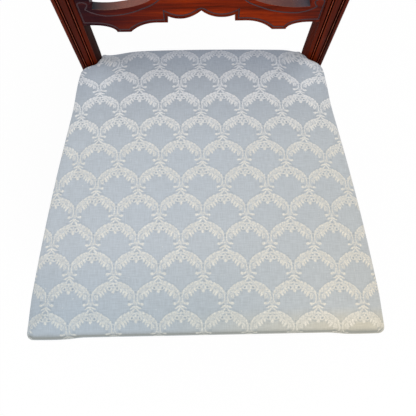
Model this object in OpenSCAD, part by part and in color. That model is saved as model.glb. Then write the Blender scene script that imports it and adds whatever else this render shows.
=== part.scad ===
// Balloon back dining chair with a stuffed-over seat.
// Millimetres, +Z up, the front of the chair towards -Y.
// The origin is on the floor, under the middle of the chair's outline.

/* [Seat] */
// Height of the middle of the seat above the floor
seat_h = 462; // [420:1:520]
// Rise of the seat's middle above its edges
crown = 12; // [4:1:20]
// Width of the seat across its front corners
seat_w = 480; // [440:1:540]
// Depth of the seat from its front edge to the posts
seat_d = 391; // [350:1:440]
// How far the seat reaches behind the posts
back_over = 8; // [6:0.5:14]
// Outward bow of each side edge
side_bow = 5; // [0:0.5:10]
// Radius of the front corners in plan
corner_r = 18; // [14:1:30]
// Radius of the rounded top edge
edge_r = 18; // [10:1:22]
// How far the cover draws in below its rounded edge
draw_in = 2; // [0.5:0.5:3]

/* [Back] */
// Width over the posts' outer faces at the seat
post_span = 366; // [330:1:400]
// Width of a post's front face at the seat
post_w = 26.5; // [24:0.5:34]
// Gain in a post's width for each unit of height
post_widen = 0.019; // [0:0.001:0.03]
// Depth of a post at the seat, front to back
post_t = 32; // [28:0.5:38]
// Depth of the back at its top
crest_t = 22; // [18:0.5:26]
// Loss in a post's depth for each unit of height
post_thin = 0.035; // [0.02:0.001:0.05]
// Outward lean of each post, across for each unit of height
splay = 0.058; // [0.02:0.001:0.09]
// Backward lean of the back, in degrees
rake_deg = 9.1; // [5:0.1:14]
// Extra backward sweep at the very top
top_sweep = 14; // [4:1:24]
// Height above the seat up to which the posts are straight
straight_h = 130; // [122:1:160]
// Widest width of the balloon
balloon_w = 440; // [410:1:480]
// Height of the crest's joints above the seat
joint_h = 300; // [260:1:330]
// Height of the crest above the seat
crest_h = 420; // [390:1:460]
// Width of the crest rail at its middle
crest_w = 38; // [30:0.5:46]
// Depth of the sunk lines in the posts' moulding
groove_d = 2; // [1:0.25:3]
// Width of each sunk line
groove_w = 3.2; // [2:0.2:4]
// Distance of each sunk line from the post's edge
groove_in = 6.5; // [5:0.25:8]

/* [Cross rail] */
// Thickness of the cross rail
cross_t = 14; // [10:0.5:18]
// Setback of its face behind the posts' face
cross_set = 2; // [0:0.5:5]
// Height of its lower edge at the posts, above the seat
cross_end_h = 72.5; // [66:0.5:80]
// Height of the flat bottom of each foot
foot_h = 60.7; // [54:0.5:64]
// Distance of the foot's outer corner from the middle
foot_out = 116; // [110:1:122]
// Distance of the foot's inner corner from the middle
foot_in = 97; // [90:1:102]
// Width of the hollow outside the foot
flank_out = 30; // [20:1:34]
// Radius of the swelling curve inside the foot
flank_r = 52; // [44:1:60]
// Height of the flat beside the middle lobes
step_h = 75.9; // [74:0.5:78]
// Half the width of the middle part, at its steps
step_x = 45; // [40:1:50]
// Lowest height of the middle lobes
lobe_h = 81.9; // [80:0.5:86]
// Radius of the middle lobes
lobe_r = 42.5; // [38:0.5:46]
// Distance of each lobe's lowest point from the middle
lobe_x = 28; // [24:1:30]
// Lowest height of the balloon's opening
open_h = 93; // [91:0.5:98]
// Distance of that lowest point from the middle
open_x = 125; // [120:1:130]
// Half width of the opening's lower curve
open_rx = 71; // [66:1:74]
// Height of the opening's lower curve
open_rz = 30; // [26:1:32]
// Height of the ears at the posts
ear_h = 117; // [112:1:121]
// Distance of the ears' inner edges from the middle
ear_x = 142; // [138:1:146]
// Radius of the ears' upper corners
ear_r = 8; // [4:1:12]
// Height of the middle tablet's lobed top
tablet_h = 138; // [134:1:150]
// Radius of those lobes
tablet_r = 45; // [36:1:56]
// Distance of each upper lobe's top from the middle
tablet_x = 25; // [22:1:28]

/* [Frame] */
// Height of the seat rails
rail_h = 58; // [50:1:66]
// Thickness of the seat rails
rail_t = 24; // [20:1:28]
// Size of the front legs' square blocks
block_s = 44; // [40:1:50]
// Length of each corner brace along its rails
brace_l = 45; // [36:1:52]
// Height of the corner braces
brace_h = 36; // [30:1:44]
// Depth of a rear leg at the floor
heel_t = 30; // [26:1:36]
// Width of a rear leg at the floor
heel_w = 24; // [20:1:30]
// Backward sweep of the rear legs at the floor
heel_sweep = 58; // [40:1:70]

/* [Front legs] */
// Diameter of the turned collars
collar_d = 39; // [34:1:40]
// Diameter of the leg under its collars
shaft_d = 34; // [30:1:36]
// Diameter of the leg above its foot
ankle_d = 22; // [18:1:26]
// Diameter of the foot's ball
ball_d = 30; // [26:1:34]
// Diameter of the foot where it meets the floor
toe_d = 20; // [16:1:24]

/* [Upholstery] */
// Height of the stuffing's edge above the rails
pad_h = 40; // [36:1:46]
// Thickness of the cover
cover_t = 1.2; // [0.8:0.1:1.6]
// Thickness of the undercover
under_t = 0.8; // [0.6:0.1:1.2]
// Thickness of the hessian
hessian_t = 0.8; // [0.6:0.1:1.2]
// Thickness of the bottom cloth
lining_t = 0.6; // [0.5:0.1:1]
// Width of the cover's hem under the rails
hem_w = 12; // [10:1:16]
// Width of the edge roll
roll_w = 20; // [14:1:24]
// Stuffing between the edge roll and the rounded edge
roll_lip = 3; // [1:0.5:4]
// Width of the webbing
web_w = 50; // [40:1:56]
// Thickness of the webbing
web_t = 1.4; // [1:0.1:2]
// Spacing of the webbing's long straps
long_pitch = 72; // [60:1:78]
// Number of cross straps
cross_n = 4; // [3:1:4]

/* [Fixings] */
// Diameter of the rail dowels
dowel_d = 9; // [8:0.5:10]
// Length of a rail dowel inside a rail
dowel_in_rail = 25; // [20:1:30]
// Diameter of the cross rail's dowels
thin_dowel_d = 6; // [5:0.5:8]
// Length of a cross rail dowel on each side of its joint
thin_dowel_in = 14; // [10:1:16]
// Diameter of the crest's dowels
crest_dowel_d = 10; // [8:0.5:11]
// Length of a crest dowel on each side of its joint
crest_dowel_in = 22; // [18:1:26]
// Diameter of the brace screws
screw_d = 4; // [3.5:0.1:4.5]
// Length of the brace screws
screw_l = 30; // [26:1:32]
// Diameter of the brace screws' heads
screw_head_d = 8; // [7:0.5:9]
// Height of the brace screws' heads
screw_head_h = 3; // [2:0.5:4]
// Brace wood under a screw's head
screw_grip = 14; // [12:1:16]
// Diameter of the tacks' heads
tack_head_d = 5; // [4:0.5:6]
// Height of the tacks' heads
tack_head_h = 0.8; // [0.6:0.1:1]
// Diameter of the tacks' shanks
tack_d = 1.4; // [1.2:0.1:1.8]
// Length of the tacks' shanks
tack_l = 10; // [8:1:14]

/* [Fits] */
// Gap between layers of cloth, and between cloth and wood
soft_gap = 0.3; // [0.2:0.05:0.4]
// Gap all round a dowel, screw or tack in its hole
hole_gap = 0.1; // [0.05:0.05:0.2]
// Depth left free at the bottom of a blind hole
end_gap = 1; // [0.5:0.5:2]
// Glue gap between the cross rail and the posts
glue_gap = 0.1; // [0.1:0.05:0.2]

/* [Hidden] */

// Overrun of a cut past the face that it opens
cut = 1;
// Facets of round parts
$fn = 48;
wood = "#6b2413";
wood_dark = "#4a1a12";
beech = "#b58a58";
linen = "#c9b48c";
webbing = "#b79c72";
damask = "#bcc4cc";
black_cloth = "#26262a";
steel = "#6d6a66";

// Arrises of the posts and legs, at the front and at the back
arris = 1.5;
back_arris = 3;

// Heights, from the floor up
edge_z = seat_h - crown;
roll_z = edge_z - edge_r;
rail_top = edge_z - pad_h;
rail_bot = rail_top - rail_h;
web_high = rail_top + web_t + soft_gap;
hessian_z = web_high + web_t + soft_gap;
stuff_z = hessian_z + hessian_t + soft_gap;
roll_top = roll_z - roll_lip;
cover_low = rail_bot - soft_gap - cover_t;
under_low = rail_bot + rail_h / 4;
lining_z = cover_low - tack_head_h - soft_gap - lining_t;
straight_z = seat_h + straight_h;
joint_z = seat_h + joint_h;
top_z = seat_h + crest_h;

// Insets from the cover's outer face to each layer under it
under_in = cover_t + soft_gap;
stuff_in = under_in + under_t + soft_gap;
wood_in = draw_in + stuff_in;

// The back's lean starts above the rails and grows towards the top
rake = tan(rake_deg);
lean_start = rake * pad_h / 2;
function lean(z) =
    z <= rail_top ? 0
    : z <= edge_z ? rake * pow(z - rail_top, 2) / (2 * pad_h)
    : lean_start + rake * (z - edge_z)
        + (z <= straight_z ? 0 : top_sweep * pow((z - straight_z) / (top_z - straight_z), 2));
function heel(z) = z >= rail_bot ? 0 : heel_sweep * pow((rail_bot - z) / rail_bot, 1.7);
function post_depth(z) =
    z <= rail_bot ? heel_t + (post_t - heel_t) * z / rail_bot
    : z <= edge_z ? post_t
    : max(crest_t, post_t - post_thin * (z - edge_z));

// Depth of the whole chair, and the places that follow from it
heel_reach = heel_sweep + heel_t;
crest_reach = lean(top_z - back_arris) + crest_t;
chair_d = seat_d + max(heel_reach, crest_reach);
front_y = -chair_d / 2;
post_y = front_y + seat_d;
back_y = post_y + post_t + back_over;
seat_mid = [0, (front_y + back_y) / 2];

// Half widths of the back, by height
post_x = post_span / 2;
straight_x = post_x + splay * (straight_z - edge_z);
curve_h = joint_z - straight_z;
function outer_x(z) =
    z <= edge_z ? post_x
    : z <= straight_z ? post_x + splay * (z - edge_z)
    : let (t = (z - straight_z) / curve_h)
        (2 * pow(t, 3) - 3 * pow(t, 2) + 1) * straight_x
        + (pow(t, 3) - 2 * pow(t, 2) + t) * curve_h * splay
        + (3 * pow(t, 2) - 2 * pow(t, 3)) * balloon_w / 2;
function post_width(z) =
    z <= rail_bot ? heel_w + (post_w - heel_w) * z / rail_bot
    : z <= edge_z ? post_w
    : post_w + post_widen * (z - edge_z);
function inner_x(z) = outer_x(z) - post_width(z);
post_in = inner_x(rail_top);
joint_w = post_width(joint_z);

// Sides of the seat in plan
side_deg = atan((seat_w / 2 - post_x) / seat_d);
side_n = [cos(side_deg), sin(side_deg)];
function side_x(y, inset) =
    seat_w / 2 - (y - front_y) * tan(side_deg)
    + (side_bow * sin(180 * (y - front_y) / seat_d) - inset) / cos(side_deg);
function chord_x(y, inset) = seat_w / 2 - (y - front_y) * tan(side_deg) - inset / cos(side_deg);

// Front leg's block and turning
leg_in = seat_w / 2 - wood_in - block_s;
leg_front = front_y + wood_in;
leg_back = leg_front + block_s;
leg_mid = [(leg_in + chord_x(leg_front + block_s / 2, wood_in)) / 2, leg_front + block_s / 2];

// Rails
front_in = leg_front + rail_t;
rear_out = back_y - wood_in;
rear_in = rear_out - rail_t;
front_mid = leg_front + rail_t / 2;
rear_mid = rear_out - rail_t / 2;
function rail_in_x(y) = chord_x(y, wood_in + rail_t);
function rail_mid_x(y) = chord_x(y, wood_in + rail_t / 2);

// Heights of the dowels in the rails, as shares of the rail
dowel_shares = [0.28, 0.72];
// Heights of the cross rail's dowels, as shares of its end
thin_dowel_shares = [0.25, 0.72];
// Depth of the dowels in the legs and posts, short of the dowels that cross them
dowel_in_leg = leg_back - front_mid - dowel_d - end_gap;
dowel_in_post = min(dowel_in_leg, rear_mid - post_y - dowel_d - end_gap);

// Points of an arc or a quarter of an oval
arc_step_n = 6;
ear_step_n = 3;
function arc(c, rx, rz, from, to, n = arc_step_n) =
    [for (i = [0 : n]) let (a = from + (to - from) * i / n) [c.x + rx * cos(a), c.y + rz * sin(a)]];
function flip_x(pts) = [for (i = [len(pts) - 1 : -1 : 0]) [-pts[i].x, pts[i].y]];
function tail(pts) = [for (i = [1 : len(pts) - 1]) pts[i]];

// A skin over a stack of rings that all have the same number of points.
// The rings run downwards on the outside and turn anticlockwise seen from above.
// Each square is cut along the same diagonal whether the stack runs down or up,
// so that layers of one form lie parallel.
function band(rings, k, j) = let (n = len(rings[0])) [for (i = [0 : n - 1])
    let (m = (i + 1) % n, a = k * n + i, b = k * n + m, c = j * n + m, d = j * n + i)
    each rings[k][i].z >= rings[j][i].z ? [[a, b, c], [a, c, d]] : [[a, b, d], [b, c, d]]];
module tube_skin(rings, closed = false) {
    n = len(rings[0]);
    last = len(rings) - 1;
    sides = [for (k = [0 : last - 1]) each band(rings, k, k + 1)];
    ends = closed
        ? band(rings, last, 0)
        : [[for (i = [n - 1 : -1 : 0]) i], [for (i = [0 : n - 1]) last * n + i]];
    polyhedron([for (r = rings) each r], concat(sides, ends), convexity = 8);
}
module domed_skin(rings, top, bottom) {
    n = len(rings[0]);
    last = len(rings) - 1;
    crown_at = len(rings) * n;
    sides = [for (k = [0 : last - 1]) each band(rings, k, k + 1)];
    caps = [for (i = [0 : n - 1]) let (m = (i + 1) % n)
        each [[crown_at, m, i], [crown_at + 1, last * n + i, last * n + m]]];
    polyhedron(concat([for (r = rings) each r], [top, bottom]), concat(sides, caps), convexity = 8);
}

// The back: two posts that run down as rear legs, and the crest between them

// Moulded section: across from the inner edge, and back from the front face
function section(w, t, g) =
    let (a = groove_in, b = w - groove_in, h = groove_w / 2)
    [[arris, 0], [a - h, 0], [a, g], [a + h, 0], [b - h, 0], [b, g], [b + h, 0], [w - arris, 0],
     [w, arris], [w, t - back_arris], [w - back_arris, t],
     [back_arris, t], [0, t - back_arris], [0, arris]];
function post_ring(z) =
    let (w = post_width(z), g = z > rail_top ? groove_d : 0)
    [for (p = section(w, post_depth(z), g)) [inner_x(z) + p.x, post_y + lean(z) + heel(z) + p.y, z]];

leg_step_n = 8;
lean_step_n = 4;
curve_step_n = 10;
post_levels = concat(
    [for (i = [curve_step_n : -1 : 0]) straight_z + curve_h * i / curve_step_n],
    [for (i = [lean_step_n : -1 : 0]) rail_top + pad_h * i / lean_step_n],
    [for (i = [leg_step_n : -1 : 0]) rail_bot * i / leg_step_n]);

module rear_leg(side) {
    color(wood)
    mirror([side < 0 ? 1 : 0, 0, 0])
    difference() {
        tube_skin([for (z = post_levels) post_ring(z)]);
        crest_dowel_holes();
        cross_rail_dowel_holes();
        side_rear_dowel_holes();
        rear_dowel_holes();
    }
}

// The crest follows the upper half of an oval, from joint to joint
crest_step_n = 28;
function crest_ring(a) =
    let (ox = balloon_w / 2, oz = top_z - joint_z,
         n = [cos(a) / ox, sin(a) / oz] / norm([cos(a) / ox, sin(a) / oz]),
         w = joint_w + (crest_w - joint_w) * pow(sin(a), 2))
    [for (p = section(w, crest_t, groove_d))
        let (x = ox * cos(a) - n.x * (w - p.x), z = joint_z + oz * sin(a) - n.y * (w - p.x))
        [x, post_y + lean(z) + p.y, z]];

module crest_rail() {
    color(wood)
    difference() {
        tube_skin([for (i = [crest_step_n : -1 : 0]) crest_ring(180 * i / crest_step_n)]);
        for (side = [-1, 1])
            mirror([side < 0 ? 1 : 0, 0, 0])
                crest_dowel_holes();
    }
}

// The cross rail is a flat board in the plane of the back.
// Its outline is drawn across and up, from the level of the seat.
function up(h) = h / cos(rake_deg);
function end_x(h) = inner_x(seat_h + h) - glue_gap;
flank_c = [foot_in - sqrt(pow(flank_r, 2) - pow(flank_r - step_h + foot_h, 2)), step_h - flank_r];
flank_deg = asin((foot_h - flank_c.y) / flank_r);
ear_deg = acos((ear_x - open_x) / open_rx);
function lobe_deg(dx, r) = acos(dx / r);

lower_edge = concat(
    [[end_x(cross_end_h), cross_end_h]],
    arc([foot_out + flank_out, foot_h], flank_out, cross_end_h - foot_h, 90, 180),
    arc(flank_c, flank_r, flank_r, flank_deg, 90),
    [[step_x, step_h]],
    arc([lobe_x, lobe_h + lobe_r], lobe_r, lobe_r,
        -lobe_deg(step_x - lobe_x, lobe_r), -180 + lobe_deg(lobe_x, lobe_r)));
upper_edge = concat(
    arc([tablet_x, tablet_h - tablet_r], tablet_r, tablet_r,
        180 - lobe_deg(tablet_x, tablet_r), lobe_deg(open_x - open_rx - tablet_x, tablet_r)),
    arc([open_x, open_h + open_rz], open_rx, open_rz, 180, 360 - ear_deg, 2 * arc_step_n),
    arc([ear_x + ear_r, ear_h - ear_r], ear_r, ear_r, 180, 90, ear_step_n),
    [[end_x(ear_h), ear_h]]);

module in_back_plane() {
    translate([0, post_y + lean(seat_h) + cross_set, seat_h])
        rotate([90 - rake_deg, 0, 0])
            children();
}

module cross_rail() {
    outline = [for (p = concat(lower_edge, tail(flip_x(lower_edge)), flip_x(upper_edge), tail(upper_edge)))
        [p.x, up(p.y)]];
    color(wood)
    difference() {
        in_back_plane()
            translate([0, 0, -cross_t])
                linear_extrude(cross_t)
                    polygon(outline);
        for (side = [-1, 1])
            mirror([side < 0 ? 1 : 0, 0, 0])
                cross_rail_dowel_holes();
    }
}

// Front legs: a square block in the corner of the frame, and a turned leg under it
function corner_c(inset, r) =
    [seat_w / 2 - (inset + r) * (1 + side_n.y) / side_n.x, front_y + inset + r];

// Heights of the turning's steps, as shares of the leg below its block, from the floor
toe_share = 0.012;
ball_share = 0.06;
ball_top_share = 0.115;
ankle_share = 0.15;
shaft_share = 0.8;
ring_shares = [0.83, 0.885];
neck_share = 0.93;
ring_h = 9;

function bead(z, r, h) = [for (a = [-90 : 30 : 90]) [r - h / 2 * (1 - cos(a)), z + h / 2 * sin(a)]];
turning = concat(
    [[0, 0], [toe_d / 2, 0]],
    [for (a = [-60 : 20 : 60])
        [toe_d / 2 + (ball_d - toe_d) / 2 * cos(a),
         rail_bot * (ball_share + (ball_share - toe_share) * sin(a))]],
    [[ankle_d / 2 - arris, rail_bot * ball_top_share]],
    bead(rail_bot * ankle_share, ankle_d / 2 + arris, ring_h / 2),
    [[ankle_d / 2, rail_bot * ankle_share + ring_h / 2], [shaft_d / 2, rail_bot * shaft_share]],
    [for (s = ring_shares) each bead(rail_bot * s, collar_d / 2, ring_h)],
    [[shaft_d / 2 - arris, rail_bot * neck_share],
     [collar_d / 2, rail_bot - ring_h / 2], [collar_d / 2, rail_bot + cut], [0, rail_bot + cut]]);

module block_plan() {
    r = corner_r - wood_in;
    c = corner_c(wood_in, r);
    polygon(concat(
        [[leg_in, leg_front]],
        arc(c, r, r, -90, side_deg),
        [[chord_x(leg_back, wood_in), leg_back], [leg_in, leg_back]]));
}

module front_leg(side) {
    color(wood_dark)
    mirror([side < 0 ? 1 : 0, 0, 0])
    difference() {
        union() {
            translate([0, 0, rail_bot])
                linear_extrude(rail_h)
                    block_plan();
            translate([leg_mid.x, leg_mid.y, 0])
                rotate_extrude()
                    polygon(turning);
        }
        front_dowel_holes();
        side_front_dowel_holes();
    }
}

// Dowels lie from a start point, along a direction, for a length.
// A hole is a little wider and longer at both ends than its dowel.
function hole_d(d) = d + 2 * hole_gap;
module rod(at, turn, d, l) {
    translate(at)
        rotate(turn)
            cylinder(d = d, h = l);
}
to_right_deg = [0, 90, 0];
to_back_deg = [-90, 0, 0];

module front_dowels_at(d, extra) {
    for (s = dowel_shares)
        rod([leg_in - dowel_in_rail - extra, front_mid, rail_bot + rail_h * s], to_right_deg,
            d, dowel_in_rail + dowel_in_post + 2 * extra);
}
module front_dowel_holes() front_dowels_at(hole_d(dowel_d), end_gap);

module side_front_dowels_at(d, extra) {
    for (s = dowel_shares)
        rod([rail_mid_x(leg_back + dowel_in_rail / 2), leg_back - dowel_in_leg - extra,
             rail_bot + rail_h * s],
            to_back_deg, d, dowel_in_rail + dowel_in_leg + 2 * extra);
}
module side_front_dowel_holes() side_front_dowels_at(hole_d(dowel_d), end_gap);

module side_rear_dowels_at(d, extra) {
    for (s = dowel_shares)
        rod([rail_mid_x(post_y - dowel_in_rail / 2), post_y - dowel_in_rail - extra, rail_bot + rail_h * s],
            to_back_deg, d, dowel_in_rail + dowel_in_post + 2 * extra);
}
module side_rear_dowel_holes() side_rear_dowels_at(hole_d(dowel_d), end_gap);

module rear_dowels_at(d, extra) {
    for (s = dowel_shares)
        rod([post_in - dowel_in_rail - extra, rear_mid, rail_bot + rail_h * s], to_right_deg,
            d, dowel_in_rail + post_w / 2 + 2 * extra);
}
module rear_dowel_holes() rear_dowels_at(hole_d(dowel_d), end_gap);

module crest_dowels_at(d, extra) {
    rod([balloon_w / 2 - joint_w / 2, post_y + lean(joint_z) + crest_t / 2, joint_z - crest_dowel_in - extra],
        [0, 0, 0], d, 2 * (crest_dowel_in + extra));
}
module crest_dowel_holes() crest_dowels_at(hole_d(crest_dowel_d), end_gap);

module cross_rail_dowels_at(d, extra) {
    in_back_plane()
        for (s = thin_dowel_shares)
            let (h = cross_end_h + (ear_h - cross_end_h) * s)
                rod([end_x(h) - thin_dowel_in - extra, up(h), -cross_t / 2], to_right_deg,
                    d, 2 * (thin_dowel_in + extra));
}
module cross_rail_dowel_holes() cross_rail_dowels_at(hole_d(thin_dowel_d), end_gap);

module both_sides() {
    for (side = [-1, 1])
        mirror([side < 0 ? 1 : 0, 0, 0])
            children();
}
module crest_dowels() color(beech) both_sides() crest_dowels_at(crest_dowel_d, 0);
module cross_rail_dowels() color(beech) both_sides() cross_rail_dowels_at(thin_dowel_d, 0);
module front_rail_dowels() color(beech) both_sides() front_dowels_at(dowel_d, 0);
module side_rail_front_dowels() color(beech) both_sides() side_front_dowels_at(dowel_d, 0);
module side_rail_rear_dowels() color(beech) both_sides() side_rear_dowels_at(dowel_d, 0);
module rear_rail_dowels() color(beech) both_sides() rear_dowels_at(dowel_d, 0);

// Corner braces, each screwed to its two rails
brace_z = rail_bot + (rail_h - brace_h) / 2;
front_brace_y = leg_back + brace_l;
rear_brace_y = post_y - brace_l;
screw_z = brace_z + brace_h / 2;
// A screw's place along its arm of the brace, as a share of the arm
screw_share = 0.6;

// Where each screw crosses its rail's inner face, and its direction in degrees
arm = brace_l * screw_share;
front_screws = [[leg_in - arm, front_in, -90], [rail_in_x(leg_back + arm), leg_back + arm, side_deg]];
rear_screws = [[post_in - arm, rear_in, 90], [rail_in_x(post_y - arm), post_y - arm, side_deg]];

module along_screw(s) {
    translate([s[0], s[1], screw_z])
        rotate([0, 90, s[2]])
            children();
}
module screw(s) {
    along_screw(s) {
        translate([0, 0, -screw_grip])
            cylinder(d = screw_d, h = screw_l);
        translate([0, 0, -screw_grip - screw_head_h])
            cylinder(d = screw_head_d, h = screw_head_h);
    }
}
module screw_hole(s) {
    along_screw(s) {
        translate([0, 0, -screw_grip])
            cylinder(d = hole_d(screw_d), h = screw_l + end_gap);
        translate([0, 0, -screw_grip - brace_l])
            cylinder(d = hole_d(screw_head_d), h = brace_l);
    }
}

module front_brace(side) {
    color(beech)
    mirror([side < 0 ? 1 : 0, 0, 0])
    difference() {
        translate([0, 0, brace_z])
            linear_extrude(brace_h)
                polygon([[leg_in, front_in], [leg_in, leg_back], [rail_in_x(leg_back), leg_back],
                    [rail_in_x(front_brace_y), front_brace_y], [leg_in - brace_l, front_in]]);
        for (s = front_screws)
            screw_hole(s);
    }
}
module rear_brace(side) {
    color(beech)
    mirror([side < 0 ? 1 : 0, 0, 0])
    difference() {
        translate([0, 0, brace_z])
            linear_extrude(brace_h)
                polygon([[post_in, rear_in], [post_in - brace_l, rear_in],
                    [rail_in_x(rear_brace_y), rear_brace_y],
                    [min(post_in, rail_in_x(post_y)), post_y], [post_in, post_y]]);
        for (s = rear_screws)
            screw_hole(s);
    }
}
module brace_screws() {
    color(steel)
    both_sides()
        for (s = concat(front_screws, rear_screws))
            screw(s);
}

// Webbing: long straps and cross straps, woven over and under each other
long_n = 4;
function long_x(k) = (k - (long_n - 1) / 2) * long_pitch;
web_start = front_in + web_w / 2 + brace_l / 3;
web_end = rear_in - web_w / 2 - brace_l / 3;
function cross_y(k) = web_start + (web_end - web_start) * k / (cross_n - 1);
// Straps end short of the rails' outer faces
web_back = 4;
web_slope = 3;

// Side view of a strap that rises over every second strap it meets
function strap_path(ends, flats, crossings, parity) = concat(
    [[ends[0], 0], [flats[0], 0]],
    [for (i = [0 : len(crossings) - 1])
        let (lift = (i + parity) % 2 == 0 ? web_high - rail_top : 0)
        each [[crossings[i] - web_w / 2 - web_slope, lift], [crossings[i] + web_w / 2 + web_slope, lift]]],
    [[flats[1], 0], [ends[1], 0]]);
function thicken(path, t) = concat(path, [for (i = [len(path) - 1 : -1 : 0]) path[i] + [0, t]]);

// Tacks across the end of a strap, as shares of its width
web_tack_shares = [-0.34, 0, 0.34];
long_tacks = [for (k = [0 : long_n - 1], s = web_tack_shares, y = [front_mid, rear_mid])
    [long_x(k) + web_w * s, y]];
side_tacks = [for (k = [0 : cross_n - 1], s = web_tack_shares)
    let (y = cross_y(k) + web_w * s) [rail_mid_x(y), y]];

module tack_holes(places, z, down = true) {
    for (p = places)
        rod([p.x, p.y, down ? z - tack_l - end_gap : z - cut], [0, 0, 0],
            hole_d(tack_d), tack_l + end_gap + cut);
}
module tacks(places, z, down = true) {
    for (p = places)
        translate([p.x, p.y, z])
            mirror([0, 0, down ? 0 : 1]) {
                translate([0, 0, -tack_l])
                    cylinder(d = tack_d, h = tack_l + tack_head_h / 2);
                cylinder(d1 = tack_head_d, d2 = tack_head_d * 0.6, h = tack_head_h);
            }
}
web_tack_z = rail_top + web_t;

module long_web(k) {
    path = strap_path([leg_front + web_back, rear_out - web_back], [front_in, rear_in],
        [for (i = [0 : cross_n - 1]) cross_y(i)], k);
    color(webbing)
    difference() {
        translate([long_x(k) - web_w / 2, 0, rail_top])
            rotate([90, 0, 90])
                linear_extrude(web_w)
                    polygon(thicken(path, web_t));
        tack_holes([for (p = long_tacks) if (abs(p.x - long_x(k)) < web_w / 2) p], web_tack_z);
    }
}
module cross_web(k) {
    flat = rail_in_x(cross_y(k)) - web_w / 2 * tan(side_deg);
    reach = flat + rail_t - web_back;
    path = strap_path([-reach, reach], [-flat, flat], [for (i = [0 : long_n - 1]) long_x(i)], k + 1);
    color(webbing)
    difference() {
        translate([0, cross_y(k) + web_w / 2, rail_top])
            rotate([90, 0, 0])
                linear_extrude(web_w)
                    polygon(thicken(path, web_t));
        both_sides()
            tack_holes([for (p = side_tacks) if (abs(p.y - cross_y(k)) < web_w / 2) p], web_tack_z);
    }
}
module webbing_tacks() {
    color(steel) {
        tacks(long_tacks, web_tack_z);
        both_sides()
            tacks(side_tacks, web_tack_z);
    }
}

// Outline of the seat in plan, set in from the cover's outer face.
// The third number says what hangs there: skirt and hem, skirt alone, or neither beside a post.
HEM = 0;
SKIRT = 1;
POST = 2;
front_step_n = 5;
side_step_n = 8;
rear_step_n = 5;
corner_step_n = 4;
corner_min = 2;
// Length over which the hem or the skirt starts and stops
turn_l = 1.5;

function half_outline(inset) =
    let (r = max(corner_r - inset, corner_min),
         c = corner_c(inset, r),
         x_hem = leg_in - turn_l,
         y_hem = leg_back + turn_l,
         y_post = post_y - soft_gap - inset,
         x_post = post_in - soft_gap - inset,
         y_rear = back_y - inset)
    concat(
        [for (i = [0 : front_step_n]) [x_hem * i / front_step_n, front_y + inset, HEM]],
        [[leg_in, front_y + inset, SKIRT]],
        [for (i = [0 : corner_step_n])
            let (a = -90 + (90 + side_deg) * i / corner_step_n) [c.x + r * cos(a), c.y + r * sin(a), SKIRT]],
        [[side_x(leg_back, inset), leg_back, SKIRT]],
        [for (i = [0 : side_step_n])
            let (y = y_hem + (y_post - 2 * turn_l - y_hem) * i / side_step_n) [side_x(y, inset), y, HEM]],
        [[side_x(y_post - turn_l, inset), y_post - turn_l, SKIRT], [side_x(y_post, inset), y_post, POST],
         [x_post, y_post, POST], [x_post, y_rear, POST], [x_post - turn_l, y_rear, SKIRT]],
        [for (i = [0 : rear_step_n]) [(x_post - 2 * turn_l) * (1 - i / rear_step_n), y_rear, HEM]]);
function outline(inset) =
    let (half = half_outline(inset), n = len(half))
    concat(half, [for (i = [n - 2 : -1 : 1]) [-half[i].x, half[i].y, half[i].z]]);
function flat_outline(inset) = [for (p = outline(inset)) [p.x, p.y]];

// A ring of points at one inset and height, or drawn in towards the seat's middle
function ring(inset, z, share = 1) = [for (p = outline(inset))
    [seat_mid.x + (p.x - seat_mid.x) * share, seat_mid.y + (p.y - seat_mid.y) * share, z]];
// The crowned top, and the rounded edge, a layer's depth under the cover's outer face
function crown_rings(depth, shares) =
    [for (s = shares) ring(edge_r, edge_z - depth + crown * (1 - s * s), s)];
function edge_rings(depth, angles) = [for (a = angles)
    ring(edge_r - (edge_r - depth) * sin(a), roll_z + (edge_r - depth) * cos(a))];
// A ring whose inset and height differ between skirt and post
function skirt_ring(inset, z, post_z) = [for (p = outline(inset)) [p.x, p.y, p.z == POST ? post_z : z]];
function hem_ring(inset, z, bare_inset, bare_z, post_z) =
    let (wide = outline(inset), bare = outline(bare_inset))
    [for (i = [0 : len(wide) - 1])
        bare[i].z == HEM ? [wide[i].x, wide[i].y, z]
        : [bare[i].x, bare[i].y, bare[i].z == POST ? post_z + bare_z - cover_low : bare_z]];

fine_shares = [0.25, 0.5, 0.75];
coarse_shares = [0.33, 0.66];
fine_angles = [0, 22.5, 45, 67.5, 90];
coarse_angles = [0, 45, 90];
function backwards(list) = [for (i = [len(list) - 1 : -1 : 0]) list[i]];

// Tacks of the cover and of the bottom cloth, counted along each rail
front_tack_n = 7;
side_tack_n = 6;
tack_end = 16;
function spread(a, b, n) = [for (i = [0 : n - 1]) a + (b - a) * i / (n - 1)];
function under_tacks(inset) = concat(
    [for (x = spread(0, leg_in - tack_end, (front_tack_n + 1) / 2)) [x, front_y + inset]],
    [for (y = spread(leg_back + tack_end, post_y - tack_end, side_tack_n)) [side_x(y, inset), y]],
    [for (x = spread(0, post_in - tack_end, (front_tack_n + 1) / 2)) [x, back_y - inset]]);
function with_mirror(places) = concat(places, [for (p = places) if (p.x > 0) [-p.x, p.y]]);
cover_tack_in = draw_in + wood_in + tack_head_d / 2;
lining_tack_in = draw_in + hem_w + tack_head_d;
cover_tack_places = with_mirror(under_tacks(cover_tack_in));
lining_tack_places = with_mirror(under_tacks(lining_tack_in));

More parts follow.
